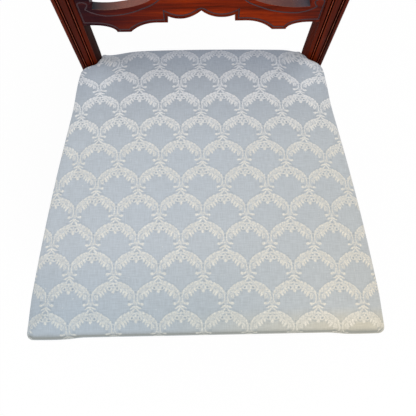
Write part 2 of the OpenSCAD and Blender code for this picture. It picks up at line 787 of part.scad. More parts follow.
module seat_cover() {
    wall = draw_in + cover_t;
    rings = concat(
        crown_rings(0, fine_shares),
        edge_rings(0, fine_angles),
        [skirt_ring(draw_in, rail_top, (roll_z + stuff_z) / 2),
         skirt_ring(draw_in, cover_low, stuff_z),
         hem_ring(draw_in + hem_w, cover_low, wall, cover_low, stuff_z),
         hem_ring(draw_in + hem_w, cover_low + cover_t, wall, cover_low + cover_t / 2, stuff_z),
         skirt_ring(wall, cover_low + cover_t, stuff_z + cover_t),
         skirt_ring(wall, rail_top, (roll_z + stuff_z) / 2)],
        edge_rings(cover_t, backwards(coarse_angles)),
        crown_rings(cover_t, backwards(coarse_shares)));
    color(damask)
    difference() {
        domed_skin(rings, [seat_mid.x, seat_mid.y, seat_h], [seat_mid.x, seat_mid.y, seat_h - cover_t]);
        tack_holes(cover_tack_places, cover_low, false);
    }
}

module undercover() {
    inner = under_in + under_t;
    rings = concat(
        crown_rings(under_in, coarse_shares),
        edge_rings(under_in, coarse_angles),
        [skirt_ring(draw_in + under_in, rail_top, (roll_z + stuff_z) / 2),
         skirt_ring(draw_in + under_in, under_low, stuff_z),
         skirt_ring(draw_in + inner, under_low, stuff_z),
         skirt_ring(draw_in + inner, rail_top, (roll_z + stuff_z) / 2)],
        edge_rings(inner, backwards(coarse_angles)),
        crown_rings(inner, backwards(coarse_shares)));
    color(linen)
        domed_skin(rings, [seat_mid.x, seat_mid.y, seat_h - under_in],
            [seat_mid.x, seat_mid.y, seat_h - inner]);
}

module seat_stuffing() {
    rings = concat(
        crown_rings(stuff_in, coarse_shares),
        edge_rings(stuff_in, coarse_angles),
        [ring(wood_in, roll_top + soft_gap),
         ring(wood_in + roll_w + soft_gap, roll_top + soft_gap),
         ring(wood_in + roll_w + soft_gap, stuff_z)]);
    color(linen)
        domed_skin(rings, [seat_mid.x, seat_mid.y, seat_h - stuff_in], [seat_mid.x, seat_mid.y, stuff_z]);
}

// The edge roll is a padded rope of oval section, laid round the seat's edge
module edge_roll() {
    half_h = (roll_top - stuff_z) / 2;
    rings = [for (a = [90 : -45 : -225])
        ring(wood_in + roll_w / 2 - roll_w / 2 * cos(a), stuff_z + half_h + half_h * sin(a))];
    color(linen)
        tube_skin(rings, true);
}

module hessian() {
    color(linen)
    translate([0, 0, hessian_z])
        linear_extrude(hessian_t)
            polygon(flat_outline(wood_in));
}

module bottom_cloth() {
    color(black_cloth)
    difference() {
        translate([0, 0, lining_z])
            linear_extrude(lining_t)
                difference() {
                    polygon(flat_outline(draw_in + hem_w / 2));
                    both_sides()
                        translate([leg_in - soft_gap, front_y])
                            square([block_s + wood_in + soft_gap, wood_in + block_s + soft_gap]);
                }
        tack_holes(lining_tack_places, lining_z, false);
    }
}
module cover_tacks() color(steel) tacks(cover_tack_places, cover_low, false);
module bottom_cloth_tacks() color(steel) tacks(lining_tack_places, lining_z, false);

// Seat rails
module rail_tack_holes() {
    tack_holes(cover_tack_places, cover_low, false);
    tack_holes(lining_tack_places, lining_z, false);
    tack_holes(long_tacks, web_tack_z);
    both_sides()
        tack_holes(side_tacks, web_tack_z);
}
module front_rail() {
    color(beech)
    difference() {
        translate([-leg_in, leg_front, rail_bot])
            cube([2 * leg_in, rail_t, rail_h]);
        both_sides() {
            front_dowel_holes();
            screw_hole(front_screws[0]);
        }
        rail_tack_holes();
    }
}
module rear_rail() {
    color(beech)
    difference() {
        translate([-post_in, rear_in, rail_bot])
            cube([2 * post_in, rail_t, rail_h]);
        both_sides() {
            rear_dowel_holes();
            screw_hole(rear_screws[0]);
        }
        rail_tack_holes();
    }
}
module side_rail(side) {
    outer = [for (y = spread(leg_back, post_y, side_step_n + 1)) [side_x(y, wood_in), y]];
    color(beech)
    mirror([side < 0 ? 1 : 0, 0, 0])
    difference() {
        translate([0, 0, rail_bot])
            linear_extrude(rail_h)
                polygon(concat([[rail_in_x(leg_back), leg_back]], outer, [[rail_in_x(post_y), post_y]]));
        side_front_dowel_holes();
        side_rear_dowel_holes();
        screw_hole(front_screws[1]);
        screw_hole(rear_screws[1]);
        rail_tack_holes();
    }
}

rear_leg(-1);  // rear_leg_left
rear_leg(1);  // rear_leg_right
front_leg(-1);  // front_leg_left
front_leg(1);  // front_leg_right
crest_rail();
cross_rail();
front_rail();
rear_rail();
side_rail(-1);  // side_rail_left
side_rail(1);  // side_rail_right
front_brace(-1);  // front_brace_left
front_brace(1);  // front_brace_right
rear_brace(-1);  // rear_brace_left
rear_brace(1);  // rear_brace_right
brace_screws();
crest_dowels();
cross_rail_dowels();
front_rail_dowels();
side_rail_front_dowels();
side_rail_rear_dowels();
rear_rail_dowels();
long_web(0);  // long_web_1
long_web(1);  // long_web_2
long_web(2);  // long_web_3
long_web(3);  // long_web_4
cross_web(0);  // cross_web_1
cross_web(1);  // cross_web_2
cross_web(2);  // cross_web_3
cross_web(3);  // cross_web_4
webbing_tacks();
hessian();
edge_roll();
seat_stuffing();
undercover();
seat_cover();
cover_tacks();
bottom_cloth();
bottom_cloth_tacks();
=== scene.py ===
import math
from functools import partial

import bmesh
import bpy
import numpy as np
from bpy.props import FloatProperty, FloatVectorProperty, IntProperty, PointerProperty
from mathutils import Matrix, Vector


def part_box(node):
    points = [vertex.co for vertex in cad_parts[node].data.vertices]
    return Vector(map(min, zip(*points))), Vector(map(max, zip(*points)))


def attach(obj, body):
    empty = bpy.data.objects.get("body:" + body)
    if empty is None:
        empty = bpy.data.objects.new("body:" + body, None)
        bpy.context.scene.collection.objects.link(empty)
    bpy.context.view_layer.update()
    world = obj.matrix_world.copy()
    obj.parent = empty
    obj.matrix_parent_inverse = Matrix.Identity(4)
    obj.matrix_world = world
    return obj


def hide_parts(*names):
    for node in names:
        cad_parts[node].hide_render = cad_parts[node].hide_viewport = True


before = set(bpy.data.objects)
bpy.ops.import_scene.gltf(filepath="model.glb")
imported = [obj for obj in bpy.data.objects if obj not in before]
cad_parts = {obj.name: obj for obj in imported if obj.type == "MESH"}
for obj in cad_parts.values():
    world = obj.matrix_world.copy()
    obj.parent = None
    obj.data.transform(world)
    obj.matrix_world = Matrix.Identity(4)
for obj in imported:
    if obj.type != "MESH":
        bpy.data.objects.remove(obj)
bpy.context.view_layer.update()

bl_info = {
    "name": "Balloon back dining chair",
    "version": (1, 0, 0),
    "blender": (4, 5, 0),
    "location": "View3D > Sidebar > Chair",
    "description": "Dresses the frame of a balloon back dining chair with wood, damask and trim",
    "category": "Object",
}

MM = 0.001

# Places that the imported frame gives, in metres. The chair's front faces -Y.
COVER_LOW, COVER_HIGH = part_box("seat_cover")
RAIL_LOW, RAIL_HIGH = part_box("front_rail")
CREST_LOW, CREST_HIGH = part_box("crest_rail")
FRONT_Y, BACK_Y = COVER_LOW.y, COVER_HIGH.y
SEAT_Z, SKIRT_Z = COVER_HIGH.z, COVER_LOW.z
RAIL_Z, RAIL_TOP_Z = RAIL_LOW.z, RAIL_HIGH.z
BLOCK_IN, BLOCK_Y = RAIL_HIGH.x, RAIL_LOW.y
POST_Y, POST_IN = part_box("rear_leg_right")[0].y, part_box("rear_rail")[1].x
HESSIAN_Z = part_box("hessian")[1].z
JOINT_Z, TOP_Z = CREST_LOW.z, CREST_HIGH.z


def linear(hex_colour):
    """The linear colour that shaders take, from an sRGB hex colour."""
    parts = [int(hex_colour[i:i + 2], 16) / 255 for i in (1, 3, 5)]
    return tuple(c / 12.92 if c <= 0.04045 else ((c + 0.055) / 1.055) ** 2.4 for c in parts) + (1.0,)


def length(name, description, default):
    """A size in metres that a user may change."""
    return FloatProperty(name=name, description=description, default=default, min=0, unit="LENGTH")


def share(name, description, default, highest=1.0):
    """A ratio that a user may change."""
    return FloatProperty(name=name, description=description, default=default, min=0, max=highest)


def colour(name, description, hex_colour):
    """A colour that a user may change."""
    return FloatVectorProperty(name=name, description=description, default=linear(hex_colour),
                               size=4, min=0, max=1, subtype="COLOR")


# Sizes and colours that a user may change

class SeatSizes(bpy.types.PropertyGroup):
    width: length("Width", "Width across the front corners, before they are rounded", 0.480)
    depth: length("Depth", "Depth from the front edge to the posts", POST_Y - FRONT_Y)
    crown: length("Crown", "Rise of the seat's middle above its edges", 0.012)
    bow: length("Side bow", "Outward bow of each side edge", 0.005)
    corner: length("Corner radius", "Radius of the front corners in plan", 0.0095)
    edge: length("Edge radius", "Radius of the rounded top edge", 0.018)
    tight: length("Tight edge", "Radius of the rounded edge where it meets the posts", 0.008)
    tuck: length("Tuck radius", "Radius of the cover's edge against the posts", 0.004)
    draw_in: length("Draw-in", "How far the cover draws in below its edge", 0.002)
    cloth: length("Cloth thickness", "Thickness of the damask", 0.0012)
    hem: length("Hem", "Width of the hem under the rails", 0.012)
    gap: length("Gap", "Gap between the cloth and the wood", 0.0003)
    rear_rise: length("Rear rise", "How much fuller the seat is between the posts", 0.0057)
    stand_left: length("Left fold", "How far the cover stands up at the left post", 0.021)
    stand_right: length("Right fold", "How far the cover stands up at the right post", 0.026)
    fall_left: length("Left fall", "How far the cover falls behind the left post's corner", 0.009)
    fall_right: length("Right fall", "How far the cover falls behind the right post's corner", 0.007)
    lining_sag: length("Lining sag", "Sag of the bottom cloth in its middle", 0.003)
    swell_side: length("Side swell", "How far the stuffed edge stands out beyond the side skirts", 0.0046)
    pressure: FloatProperty(name="Stuffing pressure", description="Push of the stuffing against the cover",
                            default=4.0, min=0, max=10)
    give: length("Give", "How far the stuffing may push the cover out", 0.0045)


class BackSizes(bpy.types.PropertyGroup):
    span: length("Span", "Width over the posts' outer faces at the seat", 0.366)
    post_width: length("Post width", "Width of a post's front face at the seat", 0.0265)
    widen: share("Widening", "Gain in a post's width for each unit of height", 0.019)
    post_depth: length("Post depth", "Depth of a post at the seat", 0.032)
    crest_depth: length("Crest depth", "Depth of the back at its top", 0.022)
    thin: share("Thinning", "Loss in a post's depth for each unit of height", 0.035)
    splay: share("Splay", "Outward lean of each post for each unit of height", 0.058)
    rake: FloatProperty(name="Rake", description="Backward lean of the back",
                        default=math.radians(9.1), min=0, max=math.radians(20), unit="ROTATION")
    sweep: length("Top sweep", "Extra backward sweep at the very top", 0.014)
    straight: length("Straight height", "Height above the seat up to which the posts are straight", 0.130)
    crest_width: length("Crest width", "Width of the crest rail at its middle", 0.038)
    heel_depth: length("Heel depth", "Depth of a rear leg at the floor", 0.030)
    heel_width: length("Heel width", "Width of a rear leg at the floor", 0.024)
    heel_sweep: length("Heel sweep", "Backward sweep of the rear legs at the floor", 0.058)
    arris: length("Arris", "Radius of the front arrises", 0.0015)
    back_arris: length("Back arris", "Radius of the back arrises", 0.003)
    reed_in: length("Reed place", "Distance of each reed's middle from the post's edge", 0.0077)
    reed_pitch: length("Reed pitch", "Distance from a reed's middle to the quirk beside it", 0.00175)
    quirk: length("Quirk depth", "Depth of the quirks beside each reed", 0.0014)


class CrossRailSizes(bpy.types.PropertyGroup):
    thickness: length("Thickness", "Thickness of the cross rail", 0.014)
    setback: length("Setback", "Setback of its face behind the posts' face", 0.002)
    arris: length("Arris", "Radius of the rounded edges", 0.0011)
    line_width: length("Line width", "Width of the sunk line", 0.0018)
    line_depth: length("Line depth", "Depth of the sunk line", 0.0014)
    low_margin: length("Lower margin", "Distance of the sunk line from the lower edge", 0.0045)
    high_margin: length("Upper margin", "Distance of the sunk line from the opening", 0.0066)


class FrontLegSizes(bpy.types.PropertyGroup):
    block: length("Block", "Size of the square block", 0.044)
    collar: length("Collar", "Diameter of the turned collars", 0.039)
    shaft: length("Shaft", "Diameter of the leg under its collars", 0.034)
    ankle: length("Ankle", "Diameter above the foot", 0.022)
    ball: length("Ball", "Diameter of the foot's ball", 0.030)
    toe: length("Toe", "Diameter where the foot meets the floor", 0.020)
    steps: IntProperty(name="Steps", description="Steps of the turning", default=64, min=24, max=128)


class DamaskPattern(bpy.types.PropertyGroup):
    repeat: length("Repeat", "Width of one scallop", 0.05974)
    row: length("Row", "Height from one row of scallops to the next", 0.03979)
    across: FloatProperty(name="Across", description="Where the first scallop lies, across the seat",
                          default=-0.0034, unit="LENGTH")
    along: FloatProperty(name="Along", description="Where the first row lies, from the front edge",
                         default=0.0417, unit="LENGTH")
    ground: colour("Ground", "Blue-grey warp-faced ground", "#b6bec6")
    figure: colour("Figure", "Cream weft of the figure", "#d8d7d1")
    shade: colour("Shade", "Ground beside the raised weft, where it lies in shadow", "#94a0ac")
    lustre: colour("Lustre", "Thickest floats of the figure, which catch the light", "#e6e3dc")


class WoodColours(bpy.types.PropertyGroup):
    dark: colour("Dark", "Darkest streaks of the mahogany", "#320d05")
    middle: colour("Middle", "Main colour of the mahogany", "#7b2307")
    light: colour("Light", "Lightest streaks of the mahogany", "#a13807")
    dirt: colour("Dirt", "Old wax and dust in the sunk lines", "#574a50")
    # The rubbed colour of reeds and arrises, where it also serves as a painted highlight
    worn_and_shaded: colour("Worn", "Rubbed arrises where the polish has gone", "#a8694a")


class StageSettings(bpy.types.PropertyGroup):
    backdrop: colour("Backdrop", "Colour of the floor and the backdrop", "#ffffff")
    key: FloatProperty(name="Key", description="Power of the main lamp", default=64.0, min=0, unit="POWER")
    fill: FloatProperty(name="Fill", description="Power of the side lamp", default=6.0, min=0, unit="POWER")
    sky: share("Sky", "Strength of the even light from all round", 0.62, 2.0)


SETTINGS = {
    "chair_seat": SeatSizes, "chair_back": BackSizes, "chair_cross_rail": CrossRailSizes,
    "chair_front_leg": FrontLegSizes, "chair_damask": DamaskPattern, "chair_wood": WoodColours,
    "chair_stage": StageSettings,
}


def setting(name):
    """One of the groups of sizes and colours, from the scene."""
    return getattr(bpy.context.scene, name)


# Workshop: what every piece needs

def start_fresh():
    """Leaves edit mode with nothing selected."""
    if bpy.context.mode != "OBJECT":
        bpy.ops.object.mode_set(mode="OBJECT")
    bpy.ops.object.select_all(action="DESELECT")


def named(name):
    """The object that was just added, with its name."""
    piece = bpy.context.object
    piece.name = piece.data.name = name
    return piece


def pick(piece):
    """Makes one piece the only one selected, and the active one."""
    start_fresh()
    piece.select_set(True)
    bpy.context.view_layer.objects.active = piece


def edit(piece):
    """The piece's mesh in edit mode."""
    bpy.context.view_layer.objects.active = piece
    bpy.ops.object.mode_set(mode="EDIT")
    return bmesh.from_edit_mesh(piece.data)


def select_faces(bm, test):
    """Selects the faces that pass a test, and nothing else."""
    bpy.ops.mesh.select_mode(type="FACE")
    bpy.ops.mesh.select_all(action="DESELECT")
    for face in bm.faces:
        face.select_set(test(face))
    bm.select_flush_mode()


def close_mesh():
    """Turns all faces outwards, and leaves edit mode."""
    bpy.ops.mesh.select_all(action="SELECT")
    bpy.ops.mesh.normals_make_consistent(inside=False)
    start_fresh()


def apply_modifier(piece, kind, **settings):
    """Adds a modifier, sets it and applies it."""
    pick(piece)
    modifier = piece.modifiers.new(kind.title(), kind)
    for key, value in settings.items():
        setattr(modifier, key, value)
    bpy.ops.object.modifier_apply(modifier=modifier.name)


def finish_piece(piece, replaces, materials=(), smooth=35):
    """Closes a piece: its shading, its materials, its body and what it stands for."""
    pick(piece)
    bpy.ops.object.shade_smooth_by_angle(angle=math.radians(smooth))
    for material in materials:
        piece.data.materials.append(material)
    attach(piece, "root")
    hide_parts(*replaces)
    return piece


def turn_of(place, count):
    """Which of a circle's points a place belongs to, as Blender adds them: from +Y towards -X."""
    return math.atan2(-place.x, place.y) / math.tau * count


def loft(name, rings, strips=None, closed=True):
    """A skin through rings of points. A circle is extruded once for each further ring, and every
    point of that tube is moved to its place. Strips give the material of each lengthwise strip."""
    count = len(rings[0])
    start_fresh()
    bpy.ops.mesh.primitive_circle_add(vertices=count, radius=1)
    piece = named(name)
    edit(piece)
    bpy.ops.mesh.select_all(action="SELECT")
    for _ in rings[1:]:
        bpy.ops.mesh.extrude_edges_move(TRANSFORM_OT_translate={"value": (0, 0, 1)})
    bm = bmesh.from_edit_mesh(piece.data)
    if strips:
        for face in bm.faces:
            face.material_index = strips[math.floor(turn_of(face.calc_center_median(), count)) % count]
    for v in bm.verts:
        v.co = rings[round(v.co.z)][round(turn_of(v.co, count)) % count]
    bpy.ops.mesh.select_all(action="SELECT")
    if closed:
        bpy.ops.mesh.fill_holes(sides=0)
    close_mesh()
    return piece


def ramp(value, first, last):
    """How far a value has come from the first to the last, held between 0 and 1."""
    return min(max((value - first) / (last - first), 0), 1)


def eased(t):
    """The same share, with a gentle start and end."""
    return t * t * (3 - 2 * t)


def arc(centre, rx, ry, first, last, steps):
    """Points of an oval's arc, between two angles in degrees."""
    return [(centre[0] + rx * math.cos(math.radians(a)), centre[1] + ry * math.sin(math.radians(a)))
            for a in np.linspace(first, last, steps + 1)]


def flipped(points):
    """The same points on the other side of the middle, in the opposite order."""
    return [(-x, y) for x, y in reversed(points)]


def offset_line(points, distance):
    """A line beside another, to the left of its direction. Its corners are mitred, the sharpest not in full."""
    sharpest = 0.35
    points = [Vector(p) for p in points]
    made = []
    for k, p in enumerate(points):
        before = (p - points[k - 1]).normalized() if k else None
        after = (points[k + 1] - p).normalized() if k + 1 < len(points) else None
        before, after = before or after, after or before
        normal = Vector((-(before + after).y, (before + after).x)).normalized()
        turn = max(normal.dot(Vector((-after.y, after.x))), sharpest)
        made.append(tuple(p + normal * distance / turn))
    return made


def distance_to(place, line):
    """The distance from a place to a line of points."""
    nearest = []
    for a, b in zip(line, line[1:]):
        t = ramp((place - a).dot(b - a), 0, max((b - a).length_squared, 1e-12))
        nearest.append((place - a.lerp(b, t)).length)
    return min(nearest)


# The back's form, by height

def edge_z():
    """Height of the seat's edge, below its crown."""
    return SEAT_Z - setting("chair_seat").crown


def lean(z):
    """How far the back has leaned back at a height."""
    back = setting("chair_back")
    low, pad, rake = RAIL_TOP_Z, edge_z() - RAIL_TOP_Z, math.tan(back.rake)
    if z <= low:
        return 0
    if z <= edge_z():
        return rake * (z - low) ** 2 / (2 * pad)
    straight = SEAT_Z + back.straight
    swept = max(z - straight, 0) / (TOP_Z - straight)
    return rake * pad / 2 + rake * (z - edge_z()) + back.sweep * swept ** 2


def heel(z):
    """How far a rear leg has swept back at a height."""
    return setting("chair_back").heel_sweep * (max(RAIL_Z - z, 0) / RAIL_Z) ** 1.7


def post_depth(z):
    """Depth of a rear leg and its post at a height."""
    back = setting("chair_back")
    if z <= RAIL_Z:
        return back.heel_depth + (back.post_depth - back.heel_depth) * z / RAIL_Z
    return max(back.crest_depth, back.post_depth - back.thin * max(z - edge_z(), 0))


def post_width(z):
    """Width of a rear leg and its post at a height."""
    back = setting("chair_back")
    if z <= RAIL_Z:
        return back.heel_width + (back.post_width - back.heel_width) * z / RAIL_Z
    return back.post_width + back.widen * max(z - edge_z(), 0)


def outer_x(z):
    """Half the width over the posts at a height: straight first, then a smooth curve up to the crest."""
    back = setting("chair_back")
    straight = SEAT_Z + back.straight
    if z <= straight:
        return back.span / 2 + back.splay * max(z - edge_z(), 0)
    rise = JOINT_Z - straight
    t = (z - straight) / rise
    wide = back.span / 2 + back.splay * (straight - edge_z())
    return (1 - eased(t)) * wide + t * (1 - t) ** 2 * rise * back.splay + eased(t) * CREST_HIGH.x


def moulding(width, depth, inner_sink=1.0, outer_sink=1.0):
    """The posts' moulded section, across from the inner edge and back from the front face:
    near each edge a fine reed between two quirks. Sinks fade the quirks where they are worn away."""
    back = setting("chair_back")
    a, b, p, q = back.arris, back.back_arris, back.reed_pitch, back.quirk
    # Half a reed with its quirk: across from the reed's middle in pitches, and down in depths of the quirk
    half = [(1.5, 0), (1, 1), (0.5, 0.3), (0.25, 0.06)]
    section = [(-x, y) for x, y in half] + [(0, 0)] + half[::-1]

    def reed(middle, sink):
        """One reed between its quirks."""
        return [(middle + x * p, y * q * sink) for x, y in section]

    front = arc((a, a), a, a, 180, 270, 3) + reed(back.reed_in, inner_sink)
    front += reed(width - back.reed_in, outer_sink) + arc((width - a, a), a, a, 270, 360, 3)
    rear = arc((width - b, depth - b), b, b, 0, 90, 3) + arc((b, depth - b), b, b, 90, 180, 3)
    return front + rear


# Material of each strip of the section: 0 polished wood, 1 dirt in the quirks, 2 rubbed reeds with a painted highlight,
# 3 low-gloss sides with painted shade
REED_STRIPS = [1, 1, 1, 2, 2, 1, 1, 1]
SECTION_STRIPS = [0] * 4 + REED_STRIPS + [0] + REED_STRIPS + [0] * 4 + [3] + [0] * 7 + [3]
# Where each reed of the right post starts to show above the seat, and where it is whole, in mm
WORN_INNER, WORN_OUTER = (12, 26), (34, 60)


def post_ring(z, side):
    """One ring of a rear leg and its post. The moulding starts above the rails, and on the right post it
    is worn off near the seat. The ring at the floor is 1 mm smaller all round, which eases the foot's edge."""
    above = max(z - SEAT_Z, 0) / MM
    sunk = 1.0 if z > RAIL_TOP_Z + 4 * MM else 0.0
    inner, outer = (sunk * (ramp(above, *worn_and_shaded) if side > 0 else 1) for worn_and_shaded in (WORN_INNER, WORN_OUTER))
    x, y, w, d = outer_x(z) - post_width(z), POST_Y + lean(z) + heel(z), post_width(z), post_depth(z)
    trim = 1 * MM if z < 0.5 * MM else 0
    return [(side * (x + trim + u * (w - 2 * trim) / w), y + trim + v * (d - 2 * trim) / d, z)
            for u, v in moulding(w, d, inner, outer)]


def rear_leg(name, side, materials):
    """A rear leg with its post, skinned through rings from the floor to the crest's joint."""
    levels = [0, 1.2 * MM]
    stops = [0, RAIL_Z, RAIL_TOP_Z, edge_z(), SEAT_Z + setting("chair_back").straight, JOINT_Z]
    for low, high, steps in zip(stops, stops[1:], (14, 1, 8, 18, 18)):
        levels += list(np.linspace(low, high, steps + 1)[1:])
    piece = loft(name + "_wood", [post_ring(z, side) for z in levels], SECTION_STRIPS)
    return finish_piece(piece, [name], materials)


def crest_ring(turn):
    """One ring of the crest, which follows the upper half of an oval from joint to joint."""
    back = setting("chair_back")
    wide, high = CREST_HIGH.x, TOP_Z - JOINT_Z
    out = Vector((math.cos(turn) / wide, math.sin(turn) / high)).normalized()
    at_joint = post_width(JOINT_Z)
    w = at_joint + (back.crest_width - at_joint) * math.sin(turn) ** 2
    ring = []
    for u, v in moulding(w, back.crest_depth):
        x = wide * math.cos(turn) - out.x * (w - u)
        z = JOINT_Z + high * math.sin(turn) - out.y * (w - u)
        ring.append((x, POST_Y + lean(z) + v, z))
    return ring


# The cross rail, drawn across and up in its own plane. Its outline is given in mm across and above the seat. Below,
# from the post inwards, it has a cove, a foot, a wider cove, a step and a lobe that hangs beside the middle.
# Above, from the middle outwards, it has a lobe, a scoop and an ear.
END_H, END_COVE = 72.5, 30
FOOT_H, FOOT_OUT, FOOT_IN = 60.7, 116, 97
STEP_H, STEP_X, STEP_COVE = 75.9, 45, 52
LOW_LOBE, LOW_LOBE_R = (28, 124.4), 42.5
HIGH_LOBE, HIGH_LOBE_R = (25, 93), 45
SCOOP, SCOOP_WIDE, SCOOP_DEEP = (125, 123), 71, 30
EAR_X, EAR_H, EAR_R = 142, 117, 8
# The curl at the lower line's end, under the ear, up to the place where it runs down beside the post
CURL = [(150.9, 93.6), (148.6, 95.8), (147.1, 98.2), (146.6, 100.5), (147.2, 102.0), (148.8, 103.2),
        (151.5, 104.2), (155.0, 104.0)]
BESIDE_POST = [(0.2, 102.4), (0.7, 99.5), (-1.0, 77.0)]
# The upper line's end beside the curl, and where each line stops to follow the edge
HIGH_END = [(136.4, 88.0), (144.3, 90.3), (151.2, 93.8)]
HIGH_STOP, LOW_STOP = 130, 148
# Its materials: the face, the sunk lines, the rubbed arris with a painted highlight, the dusty top with a painted sky
# reflection and the lower border
FACE, LINE, ARRIS, TOP, BORDER = range(5)


def rail_plane():
    """The place of the cross rail's front face. Its Z is the face's outward normal."""
    back = setting("chair_back")
    place = Vector((0, POST_Y + lean(SEAT_Z) + setting("chair_cross_rail").setback, SEAT_Z))
    return Matrix.Translation(place) @ Matrix.Rotation(math.pi / 2 - back.rake, 4, "X")


def rail_end(h):
    """Half the width between the posts at a height above the seat."""
    z = SEAT_Z + h
    return outer_x(z) - post_width(z) - 0.1 * MM


def in_rail_plane(points_mm):
    """Points given across and above the seat in millimetres, as points of the rail's leaning plane. The
    hand-cut rail isn't quite even: its lower edge hangs 3.5 mm lower on the left and 1.5 mm on the right,
    and its top is 1.1 mm lower in the middle and 1.1 to 2.3 mm higher at the left and the right ear. The
    one passes into the other between 82.4 and 94.4 mm above the seat."""
    up = 1 / math.cos(setting("chair_back").rake)
    made = []
    for x, h in points_mm:
        right, low = ramp(x, -25, 25), ramp(h, 94.4, 82.4)
        h += (2.0 * right - 3.5) * low + (min(abs(x) / 80, 1) * (2.2 + 1.2 * right) - 1.1) * (1 - low)
        made.append((x * MM, h * MM * up))
    return made


def lower_edge():
    """The rail's lower edge from the right post to the middle."""
    cove = (FOOT_IN - math.sqrt(STEP_COVE ** 2 - (STEP_COVE - STEP_H + FOOT_H) ** 2), STEP_H - STEP_COVE)
    cove_start = math.degrees(math.asin((FOOT_H - cove[1]) / STEP_COVE))
    lobe_out = math.degrees(math.acos((STEP_X - LOW_LOBE[0]) / LOW_LOBE_R))
    lobe_in = math.degrees(math.acos(LOW_LOBE[0] / LOW_LOBE_R))
    return ([(rail_end(END_H * MM) / MM, END_H)]
            + arc((FOOT_OUT + END_COVE, FOOT_H), END_COVE, END_H - FOOT_H, 90, 180, 14)
            + arc(cove, STEP_COVE, STEP_COVE, cove_start, 90, 14) + [(STEP_X, STEP_H)]
            + arc(LOW_LOBE, LOW_LOBE_R, LOW_LOBE_R, -lobe_out, -180 + lobe_in, 22))


def opening_edge():
    """The balloon opening's edge from the middle to the right ear."""
    lobe_in = math.degrees(math.acos(HIGH_LOBE[0] / HIGH_LOBE_R))
    lobe_out = math.degrees(math.acos((SCOOP[0] - SCOOP_WIDE - HIGH_LOBE[0]) / HIGH_LOBE_R))
    ear = math.degrees(math.acos((EAR_X - SCOOP[0]) / SCOOP_WIDE))
    return (arc(HIGH_LOBE, HIGH_LOBE_R, HIGH_LOBE_R, 180 - lobe_in, lobe_out, 22)
            + arc(SCOOP, SCOOP_WIDE, SCOOP_DEEP, 180, 360 - ear, 34)
            + arc((EAR_X + EAR_R, EAR_H - EAR_R), EAR_R, EAR_R, 180, 90, 6) + [(rail_end(EAR_H * MM) / MM, EAR_H)])


def sunk_lines():
    """The two sunk lines: one along the opening, and one along the lower edge that turns up
    beside each post and curls back under the ear."""
    rail = setting("chair_cross_rail")
    low = offset_line(lower_edge(), -rail.low_margin / MM)
    low = low[1:-1] + [(0, low[-1][1])]
    near_post = rail_end(90 * MM) / MM - 2.2
    curl = CURL + [(near_post + x, h) for x, h in BESIDE_POST]
    high = [(x, h) for x, h in offset_line(opening_edge(), -rail.high_margin / MM) if x < HIGH_STOP]
    high = [(0, high[0][1])] + high[1:] + HIGH_END
    border = curl + [p for p in low if p[0] < LOW_STOP]
    return [flipped(high)[:-1] + high, border + flipped(border)[1:]]


def line_cutter(name, line):
    """A thin wedge along a line of the rail's face, which cuts the sunk line."""
    rail = setting("chair_cross_rail")
    line = [Vector(p) for p in in_rail_plane(line)]
    left = [Vector(p) for p in offset_line(line, rail.line_width)]
    # The wedge's section: across in widths of the line, and up in depths
    section = [(-0.75, 1), (-0.5, 0), (-0.2, -1), (0.2, -1), (0.5, 0), (0.75, 1)]
    return loft(name, [[(p.x + (q - p).x * across, p.y + (q - p).y * across, rail.line_depth * up)
                        for across, up in section] for p, q in zip(line, left)])


def cross_rail(materials):
    """The rail's outline is filled and extruded to its thickness, its edges are rounded, and the sunk lines are cut.
    Its face and lower border with painted shade towards the left post and the right ear, the rubbed arris with a
    painted highlight and the dusty top with a painted sky reflection each have a finish."""
    rail = setting("chair_cross_rail")
    lower, upper = lower_edge(), opening_edge()
    lower += flipped(lower)[1:]
    outline = in_rail_plane(lower + flipped(upper) + upper[1:])
    start_fresh()
    bpy.ops.mesh.primitive_circle_add(vertices=len(outline), radius=1, fill_type="NGON")
    piece = named("cross_rail_wood")
    bm = edit(piece)
    for v in bm.verts:
        v.co = (*outline[round(turn_of(v.co, len(outline))) % len(outline)], 0)
    bpy.ops.mesh.select_all(action="SELECT")
    bpy.ops.mesh.extrude_region_move(TRANSFORM_OT_translate={"value": (0, 0, -rail.thickness)})
    # Cuts every 13 mm keep the faces small, at places that miss the outline's own points
    for x in np.linspace(-155.3 * MM, 154.7 * MM, 25):
        bpy.ops.mesh.select_all(action="SELECT")
        bpy.ops.mesh.bisect(plane_co=(x, 0, 0), plane_no=(1, 0, 0))
    close_mesh()
    for material in materials:
        piece.data.materials.append(material)
    apply_modifier(piece, "BEVEL", width=rail.arris, segments=3, limit_method="ANGLE",
                   angle_limit=math.radians(55), material=ARRIS)
    # Only the arris above the face is rubbed, with a painted highlight, and what looks up behind it is the dusty top,
    # with a painted sky reflection
    for face in piece.data.polygons:
        if face.material_index == ARRIS and (face.normal.y < 0.2 or face.normal.z < 0):
            face.material_index = FACE
        elif face.material_index == FACE and face.normal.y > 0.5 and abs(face.normal.z) < 0.3:
            face.material_index = TOP
    for number, line in enumerate(sunk_lines()):
        cutter = line_cutter(f"cutter_{number}", line)
        cutter.data.materials.append(materials[LINE])
        apply_modifier(piece, "BOOLEAN", object=cutter, operation="DIFFERENCE", solver="MANIFOLD",
                       material_mode="TRANSFER")
        bpy.data.objects.remove(cutter)
    # The face between the lower sunk line and the lower edge is a border
    hem = [Vector(p) for p in in_rail_plane(lower)]
    for face in piece.data.polygons:
        if face.material_index == FACE and face.normal.z > 0.9:
            if distance_to(face.center.xy, hem) < 0.75 * rail.low_margin:
                face.material_index = BORDER
    piece.data.transform(rail_plane())
    finish_piece(piece, ["cross_rail"], smooth=40)
    apply_modifier(piece, "WEIGHTED_NORMAL", keep_sharp=True)
    return piece


# Front legs

